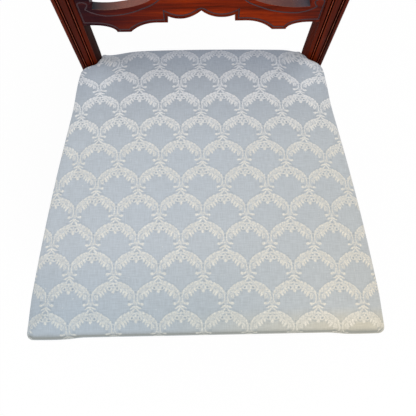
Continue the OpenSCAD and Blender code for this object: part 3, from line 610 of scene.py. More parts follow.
def turned_profile():
    """The turning's half section from the floor up, as radius and height: a foot with its ball, a ring at the
    ankle, a long taper, two collars, and a neck under the block. Heights are shares of the leg's own."""
    leg = setting("chair_front_leg")
    high, arris, step = RAIL_Z, 1.5 * MM, 15

    def bead(at, radius, height):
        """One rounded ring, with its middle at a share of the leg's height."""
        return arc((radius - height / 2, high * at), height / 2, height / 2, -90, 90, 180 // step)

    ball = arc((leg.toe / 2, high * 0.06), (leg.ball - leg.toe) / 2, high * 0.048, -75, 60, 135 // step)
    shaft = [(leg.ankle / 2 + (leg.shaft - leg.ankle) / 2 * t ** 0.9, high * (0.163 + 0.637 * t))
             for t in np.linspace(0, 1, 9)]
    return ([(leg.toe / 2 - 1 * MM, 0.0), (leg.toe / 2, 1 * MM)] + ball
            + [(leg.ankle / 2 - arris, high * 0.115)] + bead(0.15, leg.ankle / 2 + arris, 4.5 * MM) + shaft
            + bead(0.83, leg.collar / 2, 9 * MM) + bead(0.885, leg.collar / 2, 9 * MM)
            + [(leg.shaft / 2 - arris, high * 0.92), (leg.shaft / 2 - arris, high * 0.94),
               (leg.collar / 2 - 1 * MM, high - 5 * MM), (leg.collar / 2, high - 4 * MM),
               (leg.collar / 2, high)])


def front_leg(name, side, materials):
    """The turned part follows its profile ring by ring, and the block is a bevelled prism on top of it, with
    a rounded outer corner under the seat's own."""
    leg = setting("chair_front_leg")
    wood_in, rear_y = BLOCK_Y - FRONT_Y, BLOCK_Y + leg.block
    # The corner's radius, and the angle in degrees at which it meets the side
    round_r, round_end = 12 * MM, 8.3
    inner, outer = BLOCK_IN, side_x(BLOCK_Y + leg.block / 2, wood_in)
    x, y = (inner + outer) / 2, BLOCK_Y + leg.block / 2
    turns = np.linspace(0, math.tau, leg.steps, endpoint=False)
    piece = loft(name + "_wood", [[(side * x + r * math.cos(t), y + r * math.sin(t), z) for t in turns]
                                  for r, z in turned_profile()])
    corner = (side_x(BLOCK_Y + round_r, wood_in) - round_r, BLOCK_Y + round_r)
    plan = ([(inner, BLOCK_Y)] + arc(corner, round_r, round_r, -90, round_end, 8)
            + [(side_x(rear_y, wood_in), rear_y), (inner, rear_y)])
    block = loft(name + "_block", [[(side * px, py, z) for px, py in plan] for z in (RAIL_Z, RAIL_TOP_Z)])
    apply_modifier(block, "BEVEL", width=0.6 * MM, segments=2, limit_method="ANGLE", angle_limit=math.radians(50))
    pick(piece)
    block.select_set(True)
    bpy.ops.object.join()
    return finish_piece(piece, [name], materials)


# The seat

def taper():
    """How much half the seat's width narrows for each unit of depth."""
    seat = setting("chair_seat")
    return (seat.width / 2 - setting("chair_back").span / 2) / seat.depth


def side_x(y, inset=0.0):
    """Half the width of the seat at a place from front to back, set in from the cover's face."""
    seat = setting("chair_seat")
    square = math.cos(math.atan(taper()))
    return (seat.width / 2 - (y - FRONT_Y) * taper()
            + (seat.bow * math.sin(math.pi * (y - FRONT_Y) / seat.depth) - inset) / square)


def edge_radius(y):
    """Radius of the seat's rounded edge, which tightens from 75 mm to 10 mm in front of the posts."""
    seat = setting("chair_seat")
    return seat.edge + (seat.tight - seat.edge) * eased(ramp(y, POST_Y - 75 * MM, POST_Y - 10 * MM))


GRID_HALF = 26        # cells from the middle to each side
GRID_NOTCH = 24       # cells from the middle to a post
GRID_DEEP = 52        # cells from the front to the posts
GRID_REAR = 4         # cells beside the posts
GRID_TURN = 3         # cells in each half of a front corner
GRID_LEAN = 6         # cells beside a front corner whose lines lean towards it
ROLL_STEPS = 7        # rows over the rounded edge
SKIRT_STEPS = 12      # rows down the skirt
HEM_STEPS = 3         # rows under the rails
LOOSE_ROWS = 3        # rows of the edge that the stuffing may push out
# What hangs from an edge: a skirt with its hem, a skirt turned in at a leg, or a short flap against a post
FREE, SKIRT, POST = 0, 1, 2
# Places nearer to each other than this are the same place
TOUCH = 0.01 * MM


def seat_edges():
    """The right half of the seat's edge, from the front's middle to the rear's middle. Each entry
    holds the inner point where the top ends, the outermost point, the edge's drop and what hangs there."""
    seat = setting("chair_seat")
    e, t, top_corner = seat.edge, seat.tuck, 15 * MM
    post_y, post_x, rear_y = POST_Y - seat.gap, POST_IN - seat.gap, BACK_Y
    inner_arc, outer_arc = (
        arc((side_x(FRONT_Y + inset + r, inset + r), FRONT_Y + inset + r), r, r,
            -90, math.degrees(math.atan(taper())), 2 * GRID_TURN)
        for inset, r in ((e, top_corner), (0, seat.corner)))
    edges = []
    n = GRID_HALF - GRID_TURN
    even = n - GRID_LEAN
    for k in range(n):
        xo = outer_arc[0][0] * k / n
        start = outer_arc[0][0] * even / n
        xi = xo if k <= even else start + (inner_arc[0][0] - start) * (k - even) / GRID_LEAN
        edges.append(((xi, FRONT_Y + e), (xo, FRONT_Y), e))
    edges += [(p, q, e) for p, q in zip(inner_arc, outer_arc)]
    n = GRID_DEEP - GRID_TURN
    for k in range(1, n + 1):
        yo = outer_arc[-1][1] + (post_y - outer_arc[-1][1]) * k / n
        yi = yo - t * k / n + (inner_arc[-1][1] - outer_arc[-1][1]) * max(1 - k / GRID_LEAN, 0)
        edges.append(((side_x(yi, edge_radius(yi)), yi), (side_x(yo), yo), edge_radius(yi)))
    n = GRID_HALF - GRID_NOTCH
    start = side_x(post_y - t, edge_radius(post_y))
    for k in range(1, n + 1):
        xi = start + (post_x - t - start) * k / n
        xo = side_x(post_y) + (post_x - side_x(post_y)) * k / n
        edges.append(((xi, post_y - t), (xo, post_y), t))
    # The last cell covers the rear rail's end where it stands out behind the post
    behind = POST_Y + setting("chair_back").post_depth + seat.gap
    for k in range(1, GRID_REAR + 1):
        yi = post_y - t + (rear_y - e - post_y + t) * k / GRID_REAR
        yo = post_y + (rear_y - post_y) * k / GRID_REAR if k != GRID_REAR - 1 else behind
        xo = post_x if k < GRID_REAR - 1 else POST_IN + seat.gap
        edges.append(((post_x - t, yi), (xo, yo), t + (e - t) * max(k / GRID_REAR - 0.5, 0)))
    for k in range(1, GRID_NOTCH + 1):
        f = 1 - k / GRID_NOTCH
        edges.append((((post_x - t) * f, rear_y - e), (post_x * f, rear_y), e))

    def hangs(x, y):
        """What hangs at an outermost point. The skirt turns in beside a leg's block and within 9 mm of a post."""
        corner = (abs(y - post_y) < TOUCH and x > side_x(post_y) - TOUCH) or (
            y > behind - TOUCH and x > post_x - TOUCH)
        if y > post_y - TOUCH and x > post_x - TOUCH and not corner:
            return POST
        beside_leg = x > BLOCK_IN - 1 * MM and y < BLOCK_Y + setting("chair_front_leg").block + 2 * MM
        near_post = (y > post_y - 9 * MM and x > post_x + 5 * MM) or (y > rear_y - TOUCH and x > post_x - 9 * MM)
        return SKIRT if corner or beside_leg or near_post else FREE

    return [(inner, outer, drop, hangs(*outer)) for inner, outer, drop in edges]


def seat_top(x, y):
    """Height of the seat's crowned top, before the stuffing pushes it: the crown starts at 0.78 of its rise."""
    seat = setting("chair_seat")
    across = abs(x) / side_x(min(y, POST_Y), edge_radius(y))
    along = abs(y - (FRONT_Y + BACK_Y) / 2) / ((BACK_Y - FRONT_Y) / 2 - seat.edge)
    s = min((across ** 4 + along ** 4) ** 0.25, 1.0)
    return edge_z() + 0.78 * seat.crown * (1 - s ** 2.2)


def edge_rows(inner, outer, drop, hangs):
    """One column of the cover's edge, as each row's point. The stuffed edge swells, most 4 mm above the
    skirt's top, and the skirt draws in over its first 22 mm. Both end before a post."""
    seat = setting("chair_seat")
    inner, outer = Vector(inner), Vector(outer)
    way = outer - inner
    out = way.normalized()
    high = seat_top(*inner)
    top = high - drop
    swell, to_post = 0.0, abs(abs(outer.x) - POST_IN)
    if outer.y < POST_Y - 0.5 * MM:
        to_post = POST_Y - outer.y
        swell = seat.swell_side * abs(out.x) ** 0.7 * ramp(to_post, 0, 32 * MM) ** 0.5
    draw_in = 0 if hangs == POST else seat.draw_in * ramp(to_post, 0, 24 * MM)
    rows = []

    def row(place, z, pulled=0.0):
        """Adds a row's point, which the swell pushes out and the draw-in pulls back."""
        bulge = swell * math.exp(-((z - top - 4 * MM) / (15 * MM)) ** 2) * ramp(high - z, 0, 3 * MM)
        rows.append(Vector((*(place + out * (bulge - pulled)), z)))

    for k in range(1, ROLL_STEPS + 1):
        turn = math.pi / 2 * k / ROLL_STEPS
        row(inner + way * math.sin(turn), high - drop * (1 - math.cos(turn)))
    low = HESSIAN_Z + 1 * MM if hangs == POST else SKIRT_Z
    for k in range(1, SKIRT_STEPS + 1):
        z = top + (low - top) * (k / SKIRT_STEPS) ** 1.3
        row(outer, z, draw_in * eased(ramp(top - z, 0, 22 * MM)))
    hem = seat.hem if hangs == FREE else 1.3 * MM
    flat = rows[-1].xy
    for k in range(1, HEM_STEPS + 1):
        rows.append(Vector((*(flat - out * hem * k / HEM_STEPS), low)))
    return rows


def ring_number(i, j, count):
    """The place of a grid point in the ring of edges, or None inside the grid."""
    n, a, r, m = GRID_HALF, GRID_NOTCH, GRID_DEEP, GRID_DEEP + GRID_REAR
    k, found = abs(i), None
    if j == 0:
        found = k
    elif k == n:
        found = n + j
    elif (j == r and k >= a) or j == m:
        found = 2 * n + j - k
    elif k == a and j > r:
        found = 2 * n + j - a
    if found is None or i >= 0:
        return found
    return (count - found) % count


def cover_grid(ring):
    """A grid over the stuffing, with a notch cut out for each post. Its border lies on the ring's inner points."""
    seat = setting("chair_seat")
    start_fresh()
    deep = GRID_DEEP + GRID_REAR
    bpy.ops.mesh.primitive_grid_add(x_subdivisions=2 * GRID_HALF, y_subdivisions=deep, size=2)
    piece = named("damask_cover")
    bm = edit(piece)
    notch_x, notch_y = GRID_NOTCH / GRID_HALF, GRID_DEEP / deep * 2 - 1
    select_faces(bm, lambda f: abs(f.calc_center_median().x) > notch_x and f.calc_center_median().y > notch_y)
    bpy.ops.mesh.delete(type="FACE")
    bm = bmesh.from_edit_mesh(piece.data)
    column = bm.verts.layers.int.new("column")
    y0, y1, y2 = FRONT_Y + seat.edge, POST_Y - seat.gap - seat.tuck, BACK_Y - seat.edge
    notch = (POST_IN - seat.gap - seat.tuck) / side_x(y1, edge_radius(POST_Y))
    for v in bm.verts:
        i, j = round(v.co.x * GRID_HALF), round((v.co.y + 1) / 2 * deep)
        number = ring_number(i, j, len(ring))
        v[column] = -1 if number is None else number
        if number is None:
            y = y0 + (y1 - y0) * j / GRID_DEEP if j <= GRID_DEEP else y1 + (y2 - y1) * (j - GRID_DEEP) / GRID_REAR
            share_out = np.interp(abs(i), (0, GRID_NOTCH, GRID_HALF), (0, notch, 1))
            x = math.copysign(share_out * side_x(min(y, y1), edge_radius(y)), i)
        else:
            x, y = ring[number][0]
        v.co = (x, y, seat_top(x, y))
    # Behind the front edge the cells are evened out, from corner to corner
    inside = [v for v in bm.verts if v[column] < 0 and v.co.y < FRONT_Y + 60 * MM]
    for _ in range(40):
        places = [sum((e.other_vert(v).co for e in v.link_edges), Vector()) / len(v.link_edges) for v in inside]
        for v, co in zip(inside, places):
            v.co.xy = co.xy
    for v in inside:
        v.co.z = seat_top(v.co.x, v.co.y)
    return piece


def hang_edges(piece, columns):
    """Extrudes the grid's border row by row: over the rounded edge, down the skirt and under the rails."""
    bm = bmesh.from_edit_mesh(piece.data)
    bm.verts.layers.int.new("row")
    bpy.ops.mesh.select_mode(type="EDGE")
    bpy.ops.mesh.select_all(action="DESELECT")
    for e in bm.edges:
        e.select_set(e.is_boundary)
    for number in range(ROLL_STEPS + SKIRT_STEPS + HEM_STEPS):
        bpy.ops.mesh.extrude_edges_move()
        bm = bmesh.from_edit_mesh(piece.data)
        column, row = bm.verts.layers.int["column"], bm.verts.layers.int["row"]
        for v in bm.verts:
            if v.select:
                v.co = columns[v[column]][number]
                v[row] = number + 1
    return bm


def seat_cover(materials):
    """The cover starts as a grid over the stuffing with its edges hung from it. The stuffing then pushes
    the cloth out, and at last the cloth gets its thickness."""
    half = seat_edges()
    ring = half + [((-i[0], i[1]), (-o[0], o[1]), d, h) for i, o, d, h in reversed(half[1:-1])]
    columns = [edge_rows(*entry) for entry in ring]
    piece = cover_grid(ring)
    bm = hang_edges(piece, columns)
    cloth_map(bm, ring, columns)
    # The cloth turns sharply down both faces of each post
    column, row = bm.verts.layers.int["column"], bm.verts.layers.int["row"]
    crease = bm.edges.layers.float.new("crease_edge")
    first = GRID_HALF + GRID_DEEP
    at_posts = [first, first + GRID_HALF - GRID_NOTCH, first + GRID_HALF - GRID_NOTCH + GRID_REAR]
    at_posts += [len(ring) - k for k in at_posts]
    for e in bm.edges:
        a, b = e.verts
        if a[column] == b[column] and a[column] in at_posts and min(a[row], b[row]) >= ROLL_STEPS:
            e[crease] = 1.0
    bpy.ops.mesh.select_all(action="SELECT")
    bpy.ops.mesh.normals_make_consistent(inside=False)
    pins = [v.index for v in bm.verts if v[row] > LOOSE_ROWS or (v[column] >= 0 and ring[v[column]][3] == POST)]
    start_fresh()
    stuff(piece, pins)
    tucks(piece)
    apply_modifier(piece, "SUBSURF", levels=1, render_levels=1)
    apply_modifier(piece, "SOLIDIFY", thickness=setting("chair_seat").cloth, offset=-1, use_rim=True)
    for layer in ("column", "row"):
        if layer in piece.data.attributes:
            piece.data.attributes.remove(piece.data.attributes[layer])
    finish_piece(piece, ["seat_cover", "undercover", "seat_stuffing", "edge_roll"], materials, smooth=60)
    return piece


def cloth_map(bm, ring, columns):
    """Lays the flat cloth onto the cover: across and along in metres. Past the top the cloth runs on
    outwards as far as it hangs down, and at each front corner the front's cloth and the side's cloth
    meet at a pleat."""
    column, row = bm.verts.layers.int["column"], bm.verts.layers.int["row"]
    flat = bm.loops.layers.uv.new("cloth")
    corner, count = GRID_HALF, len(ring)
    side_turn = math.atan(taper())
    outs, runs = [], []
    for k, (inner, outer, _, _) in enumerate(ring):
        near, side = min(k, count - k), -1 if k > count / 2 else 1
        inner, outer = Vector(inner), Vector(outer)
        if near <= corner - GRID_TURN:
            out = Vector((0, -1))
        elif corner + GRID_TURN <= near < corner + GRID_DEEP:
            out = Vector((side * math.cos(side_turn), math.sin(side_turn)))
        else:
            out = (outer - inner).normalized()
        outs.append(out)
        run, last, down = 0.0, Vector((*inner, seat_top(*inner))), []
        for place in columns[k]:
            step = place - last
            run += math.hypot(step.xy.dot(out), step.z)
            last = place
            down.append(run)
        runs.append(down)

    def lead(k):
        """The way along the edge, across the way out."""
        return Vector((-outs[k].y, outs[k].x))

    def place(v, front):
        """A point's place on the flat cloth, laid out from the front's side of a corner or from the side's."""
        if v[column] < 0 or v[row] == 0:
            return v.co.x, v.co.y
        k, run = v[column], runs[v[column]][v[row] - 1]
        inner = Vector(ring[k][0])
        spot = inner + outs[k] * run + lead(k) * (v.co.xy - inner).dot(lead(k))
        near, side = min(k, count - k), -1 if k > count / 2 else 1
        if corner - GRID_TURN < near < corner + GRID_TURN:
            base = corner - GRID_TURN if front else corner + GRID_TURN
            start, end = Vector(ring[base][0]), Vector(ring[base][1])
            gone = sum((Vector(ring[a][1]) - Vector(ring[a + 1][1])).length
                       for a in range(min(base, near), max(base, near)))
            along = Vector((1, 0)) if front else Vector((outs[base].y, -outs[base].x))
            chart = start + lead(base) * (end - start).dot(lead(base)) + along * gone + outs[base] * run
            chart.x *= side
            spot = spot.lerp(chart, min(v[row] / ROLL_STEPS, 1) ** 1.5)
        return spot.x, spot.y

    for face in bm.faces:
        near = [min(v[column], count - v[column]) for v in face.verts if v[column] >= 0]
        front = not near or sum(near) / len(near) < corner + 1
        for loop in face.loops:
            loop[flat].uv = place(loop.vert, front)


def stuff(piece, pins):
    """Lets the stuffing press the cover out, and holds the cloth back where it would swell too far."""
    seat = setting("chair_seat")
    start = np.array([v.co for v in piece.data.vertices])
    group = piece.vertex_groups.new(name="tacked")
    group.add(pins, 1.0, "REPLACE")
    pick(piece)
    bpy.ops.object.modifier_add(type="CLOTH")
    cloth, frames = piece.modifiers[-1], 20
    for key, value in (("quality", 6), ("mass", 0.25), ("tension_stiffness", 12), ("compression_stiffness", 12),
                       ("bending_stiffness", 1.5), ("use_pressure", True), ("uniform_pressure_force", seat.pressure),
                       ("vertex_group_mass", group.name)):
        setattr(cloth.settings, key, value)
    cloth.settings.effector_weights.gravity = 0
    cloth.point_cache.frame_start, cloth.point_cache.frame_end = 1, frames
    for number in range(1, frames + 1):
        bpy.context.scene.frame_set(number)
    bpy.ops.object.modifier_apply(modifier=cloth.name)
    bpy.context.scene.frame_set(1)
    piece.vertex_groups.remove(piece.vertex_groups["tacked"])
    moved = np.array([v.co for v in piece.data.vertices]) - start
    far = np.linalg.norm(moved, axis=1, keepdims=True)
    held = moved * np.tanh(far / seat.give) * seat.give / np.maximum(far, 1e-9)
    piece.data.vertices.foreach_set("co", (start + held).astype(np.float32).ravel())
    piece.data.update()


def tucks(piece):
    """Shapes the back of the seat, where the cover is folded round the posts: it stands up against
    each post's inner corner, falls away behind it, and is full between the posts. Where it stands up,
    1.3 times as much cloth is drawn in, so the pattern slides towards the post."""
    seat, drawn_in = setting("chair_seat"), 1.3
    # For the left and the right post: the rise and its reach, the fall, its reach and its place inside the post
    at_posts = {-1: (seat.stand_left, 29 * MM, seat.fall_left, 30 * MM, 10 * MM),
                1: (seat.stand_right, 28 * MM, seat.fall_right, 17 * MM, 0)}
    drawn = []
    # The cover stands up near the post's inner front corner, and falls round a place 36 mm behind it
    for v in piece.data.vertices:
        x, y, z = v.co
        side = 1 if x > 0 else -1
        stand, stand_reach, fall, fall_reach, inset = at_posts[side]
        soft = ramp(z, 385 * MM, 445 * MM)
        near = math.hypot(x - side * POST_IN, (y - POST_Y) * (1.5 if y > POST_Y else 0.9))
        behind = math.hypot(x - side * (POST_IN - inset), y - (POST_Y + 36 * MM))
        rise = stand * soft * math.exp(-(near / stand_reach) ** 2)
        full = seat.rear_rise * soft * eased(ramp(y, POST_Y - 80 * MM, POST_Y + 5 * MM))
        drawn.append(drawn_in * rise)
        v.co.z = (z + full * (1 - (abs(x) / POST_IN) ** 2 * 0.8) + rise
                  - fall * soft * math.exp(-(behind / fall_reach) ** 2))
    flat = piece.data.uv_layers["cloth"].data
    for loop in piece.data.loops:
        flat[loop.index].uv.y += drawn[loop.vertex_index]
    piece.data.update()


def walk(corners, counts):
    """Points along the straight stretches from corner to corner, each stretch in so many steps."""
    points = [corners[0]]
    for a, b, count in zip(corners, corners[1:], counts):
        points += [tuple(p + (q - p) * k / count for p, q in zip(a, b)) for k in range(1, count + 1)]
    return points


def bottom_cloth(materials):
    """The black cloth under the rails, notched round the legs and sagging a little. Its rings shrink from
    its outline towards the middle, and the hole that stays there is filled."""
    seat = setting("chair_seat")
    inset, gap, leg = seat.draw_in + seat.hem / 2, seat.gap, setting("chair_front_leg")
    x_in, y_in = BLOCK_IN - gap, BLOCK_Y + leg.block + gap
    y_post, x_post = POST_Y - gap - inset, POST_IN - gap - inset
    y_front, y_rear = FRONT_Y + inset, BACK_Y - inset
    low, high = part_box("bottom_cloth")
    half = walk([(0, y_front), (x_in, y_front), (x_in, y_in), (side_x(y_in, inset), y_in)], (12, 3, 3))
    half += [(side_x(y, inset), y) for y in np.linspace(y_in, y_post, 19)[1:-1]]
    half += walk([(side_x(y_post, inset), y_post), (x_post, y_post), (x_post, y_rear), (0, y_rear)], (2, 3, 12))
    outline = half + [(-x, y) for x, y in reversed(half[1:-1])]
    middle_y = (FRONT_Y + BACK_Y) / 2
    # Its faint wrinkles get deeper and shorter towards the middle
    rings = []
    for s in (1, 0.97, 0.94, 0.88, 0.8, 0.7, 0.58, 0.46, 0.34, 0.22, 0.1):
        sag, wrinkle = seat.lining_sag * (1 - s ** 2), 0.35 * MM * (1 - s)
        rings.append([(x * s, middle_y + (y - middle_y) * s,
                       high.z - sag + wrinkle * math.sin(x * 90) * math.cos(y * 70)) for x, y in outline])
    piece = loft("black_lining", rings, closed=False)
    edit(piece)
    bpy.ops.mesh.select_all(action="SELECT")
    bpy.ops.mesh.fill_holes(sides=0)
    # The biggest face is the one that closed the outline itself
    bm = bmesh.from_edit_mesh(piece.data)
    big = max(bm.faces, key=lambda f: f.calc_area())
    bmesh.ops.delete(bm, geom=[big], context="FACES_ONLY")
    bmesh.update_edit_mesh(piece.data)
    close_mesh()
    apply_modifier(piece, "SOLIDIFY", thickness=high.z - low.z, offset=0)
    finish_piece(piece, ["bottom_cloth"], materials)
    xs, ys = zip(*outline)
    return (piece, max(xs) - min(xs), max(ys) - min(ys))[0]


# Materials

def feed(socket, value):
    """Links a node's output to a socket, or sets the socket to a constant."""
    if isinstance(value, bpy.types.NodeSocket):
        socket.id_data.links.new(value, socket)
    elif value is not None:
        socket.default_value = value


# A Mix node's own sockets for numbers and for colours: the share, both inputs, and the output
MIX_SOCKETS = {"FLOAT": ((0, 2, 3), 0), "RGBA": ((0, 6, 7), 2)}


def add_node(tree, kind, *values, out=0, into=None, line=None, stops=None, **settings):
    """Adds a node, sets it, fills or links its inputs, and gives back one of its outputs. A kind such
    as Math:ADD holds its operation, and Mix:RGBA its data type. A line gives a curve's points, and stops
    give a colour ramp's places and colours."""
    kind, _, mode = kind.partition(":")
    made = tree.nodes.new("ShaderNode" + kind)
    keys = range(len(values))
    if kind == "Mix":
        made.data_type = mode
        keys, out = MIX_SOCKETS[mode]
    elif mode:
        made.operation = mode
    for key, value in settings.items():
        setattr(made, key, value)
    for key, value in list(zip(keys, values)) + list((into or {}).items()):
        feed(made.inputs[key], value)
    if line:
        curve = made.mapping.curves[0]
        curve.points[0].location, curve.points[-1].location = line[0], line[-1]
        for point in line[1:-1]:
            curve.points.new(*point)
        for point in curve.points:
            point.handle_type = "VECTOR"
        made.mapping.update()
    if stops:
        marks = made.color_ramp.elements
        marks[0].position, marks[0].color = stops[0]
        marks[1].position, marks[1].color = stops[-1]
        for place, tint in stops[1:-1]:
            marks.new(place).color = tint
    return made.outputs[out]


def set_surface(shader, **surface):
    """Sets or links sockets of a surface shader, such as base_color and ior."""
    for key, value in surface.items():
        feed(shader.inputs[key.replace("_", " ").title().replace("Ior", "IOR")], value)


def new_material(name, **surface):
    """A material with its surface shader, and the function that adds nodes to it."""
    material = bpy.data.materials.new(name)
    material.use_nodes = True
    shader = material.node_tree.nodes["Principled BSDF"]
    set_surface(shader, **surface)
    return material, partial(add_node, material.node_tree), shader


def mahogany(name, tones, grain, rough=0.0, dirt=0.0, rub=0.0, gloss=0.32, painted_fades=()):
    """French-polished mahogany: fine dark pores and slow ribbons of colour along the grain, under a thin old polish.
    Its tones are how far it is mixed towards its darkest colour, and its brightness. The grain runs along Z before it
    is turned and shifted. Dirt dulls it, rubbing takes it back to bare, paler wood, which is partly a painted
    highlight, and painted shade and painted sky reflection tint it by place across the chair."""
    wood, (darker, bright), (turn, shift) = setting("chair_wood"), tones, grain
    shades = [Vector(c[:3]) for c in (wood.dark, wood.middle, wood.light)]
    dark, middle, light = ((*(c.lerp(shades[0], darker) * bright), 1.0) for c in shades)
    material, add, shader = new_material(name, ior=1.5, specular_ior_level=gloss)
    spot = add("TexCoord", out=3)
    place = add("Mapping", spot, shift, turn)
    # Ribbons of figure about 30 mm wide and 400 mm long, and streaks of grain 2.4 mm wide
    ribbon = add("TexNoise", add("Mapping", place, None, None, (34, 34, 2.6)), None, 1.0, 5.0, 0.55, into={8: 0.7})
    streak = add("TexNoise", add("Mapping", place, None, None, (420, 420, 16)), None, 1.0, 3.0, 0.6, into={8: 0.2})
    mixed = add("Math:MULTIPLY_ADD", streak, 0.36, add("Math:MULTIPLY", ribbon, 0.72))
    base = add("ValToRGB", mixed, stops=[(0.36, dark), (0.54, middle), (0.72, light)])
    # Pores 0.7 mm wide and 14 mm long
    pores = add("TexNoise", add("Mapping", place, None, None, (1500, 1500, 70)), None, 1.0, 1.0)
    pores = add("MapRange", pores, 0.60, 0.72)
    base = add("Mix:RGBA", add("Math:MULTIPLY", pores, 0.55), base, dark)
    if dirt:
        base = add("Mix:RGBA", dirt, base, wood.dirt)
    if rub:
        rubbed = add("MapRange", add("TexNoise", place, None, 420.0, 3.0, 0.6), 0.42, 0.66, 0.0, rub)
        base = add("Mix:RGBA", rubbed, base, wood.worn_and_shaded)
    across = add("SeparateXYZ", spot)
    for start, end, most, tint in painted_fades:
        base = add("Mix:RGBA", add("MapRange", across, start, end, 0.0, most), base, linear(tint))
    smear = add("MapRange", add("TexNoise", place, None, 28.0, 4.0, 0.6), 0.3, 0.7, 0.3 + rough, 0.46 + rough)
    bump = add("Bump", 0.14, 0.0006, into={"Height": add("Math:MULTIPLY_ADD", pores, -0.5, streak)})
    set_surface(shader, base_color=base, roughness=smear, normal=bump)
    return material


# The damask's figure, in mm of its own cell: across from a scallop's middle, and up from its foot line.
# Each band of figure lies between the crown's outer and inner line, and a stem curls up from each foot.
HALF_REPEAT, ROW, CROWN = 29.87, 39.79, 32.0
OUTER_LINE = [(0, 31.0), (4, 30.2), (8, 29.2), (10, 28.9), (12, 27.4), (15, 26.9), (17, 25.0), (20, 24.0),
              (21.6, 21.8), (24, 20.4), (25.2, 18.2), (27, 17.0), (27.9, 14.6), (28.6, 12.5), (28.9, 9), (29.87, 8)]
INNER_LINE = [(0, 17.0), (3, 17.0), (7, 17.8), (9, 18.5), (11, 18.4), (13, 16.6), (16, 13.8), (19, 12.2), (22, 11.2),
              (24.2, 10.6), (26.2, 11.0), (29.87, 13.0)]
STEM_LINE = [(-3, 40), (-1.6, 40), (-1.5, 6.3), (-1, 5.6), (0, 4.2), (0.9, 3.3), (3.3, 2.3), (6, 1.95), (9, 1.95),
             (11.3, 2.3), (14.5, 3.2), (14.6, 40), (15, 40)]
# The height in mm that stands for 1 in a node's curve
CURVE_TOP = 40.0
# Leaves, eyes and slits. Each has its place across and up, half its length and half its width in mm, its
# turn in degrees and its tone: 0 is the ground, 1 the full figure, and below 0 a shadow between floats.
AT_CROWN = [
    (12.0, 14.2, 2.2, 1.2, 60, -0.25), (19.3, 8.2, 2.6, 1.3, 60, -0.25), (9.9, 30.8, 2.6, 0.9, -20, -0.25),
    (21.6, 2.9, 2.2, 1.3, 10, -0.3), (4.6, 15.4, 1.2, 0.8, 0, -0.2),
    (12.4, 25.6, 1.8, 0.5, 60, 0.35), (17.1, 23.2, 1.8, 0.5, 55, 0.35), (21.4, 19.9, 1.8, 0.5, 45, 0.35),
    (24.6, 16.6, 1.6, 0.5, 35, 0.35),
    (9.8, 27.2, 2.2, 1.3, -15, 0.95), (15.0, 24.9, 2.2, 1.3, -28, 1.0), (19.7, 22.2, 2.1, 1.3, -35, 0.95),
    (23.5, 18.8, 2.1, 1.3, -45, 0.95), (26.3, 15.3, 1.9, 1.3, -58, 0.95),
    (10.7, 17.5, 3.3, 1.5, 62, 1.0), (14.0, 14.8, 3.7, 1.5, 62, 1.0), (16.8, 11.9, 3.8, 1.6, 62, 1.1),
    (24.6, 9.0, 1.4, 4.5, 0, 0.3), (21.9, 9.3, 4.4, 2.4, 75, 0.85), (22.2, 9.0, 2.6, 0.5, 75, 0.2),
    (2.9, 30.9, 3.6, 0.9, -42, 1.05), (0.0, 29.4, 1.9, 1.1, 0, -0.4), (1.8, 28.6, 1.5, 0.7, -40, -0.3),
    (3.2, 26.3, 4.2, 0.8, -14, 0.9), (9.4, 23.0, 3.6, 0.9, -45, 0.85),
    (2.7, 24.2, 1.8, 0.8, -14, -0.35), (0.0, 23.6, 1.0, 1.0, 0, 0.95),
    (5.3, 20.1, 2.9, 2.6, 0, 0.9), (5.3, 20.1, 1.4, 1.4, 0, -0.5), (0.0, 20.8, 0.8, 1.4, 0, 0.0),
    (0.0, 15.6, 2.1, 2.1, 0, 1.1),
    (9.6, 21.0, 1.9, 0.6, -60, 0.0), (15.2, 18.6, 2.3, 0.65, -57, 0.05), (23.5, 12.9, 2.3, 0.65, -35, -0.1)]
AT_FOOT = [
    (0.0, 9.8, 1.0, 1.7, 0, -0.35), (0.0, 14.8, 1.0, 1.8, 0, -0.35), (0.0, 12.3, 1.6, 0.7, 0, 0.5),
    (5.4, -4.1, 3.6, 1.0, -24, -0.35), (8.8, 1.6, 1.8, 1.0, 0, -0.25),
    (0.0, 0.2, 2.6, 2.6, 0, 0.55), (5.6, -0.7, 2.4, 1.0, -10, 0.95), (8.4, -1.1, 2.2, 1.7, -4, 1.15),
    (3.6, -5.2, 4.4, 1.1, -27, 1.1), (0.0, -5.4, 1.5, 1.8, 0, 0.9), (2.9, -8.9, 3.6, 0.9, -42, 1.05)]


def tone(value):
    """A tone of the figure, held between 0 and 1 for the nodes: the ground is 0.4, the full figure 0.85."""
    return 0.4 + 0.45 * value


def pulled(add, flat):
    """The flat cloth's places, as far as threads and the upholsterer's pull have shifted them."""
    place = flat
    # The threads step the figure's outline: a wander of 0.4 mm every 4 mm, and of 0.3 mm every 1 mm
    for scale, reach in ((260.0, 0.0022), (900.0, 0.0016)):
        wander = add("VectorMath:SUBTRACT", add("TexNoise", flat, None, scale, 1.0, out=1), (0.5, 0.5, 0.5))
        place = add("VectorMath:MULTIPLY_ADD", wander, (reach, reach, 0), place)
    across, along, _ = add("SeparateXYZ", flat).node.outputs
    # On the right the cloth is pulled 2% wider and a little askew towards the front
    pull = add("Math:MULTIPLY", add("MapRange", along, -0.02, -0.22), add("Math:MAXIMUM", across, 0.0))
    place = add("VectorMath:MULTIPLY_ADD", add("CombineXYZ", pull, pull), (-0.02, 0.0104, 0), place)
    # Between the posts it is pulled 3 mm to the left and forwards
    pull = add("MapRange", along, 0.0, 0.13)
    return add("VectorMath:MULTIPLY_ADD", add("CombineXYZ", pull, pull), (0.0034, 0.0034, 0), place)


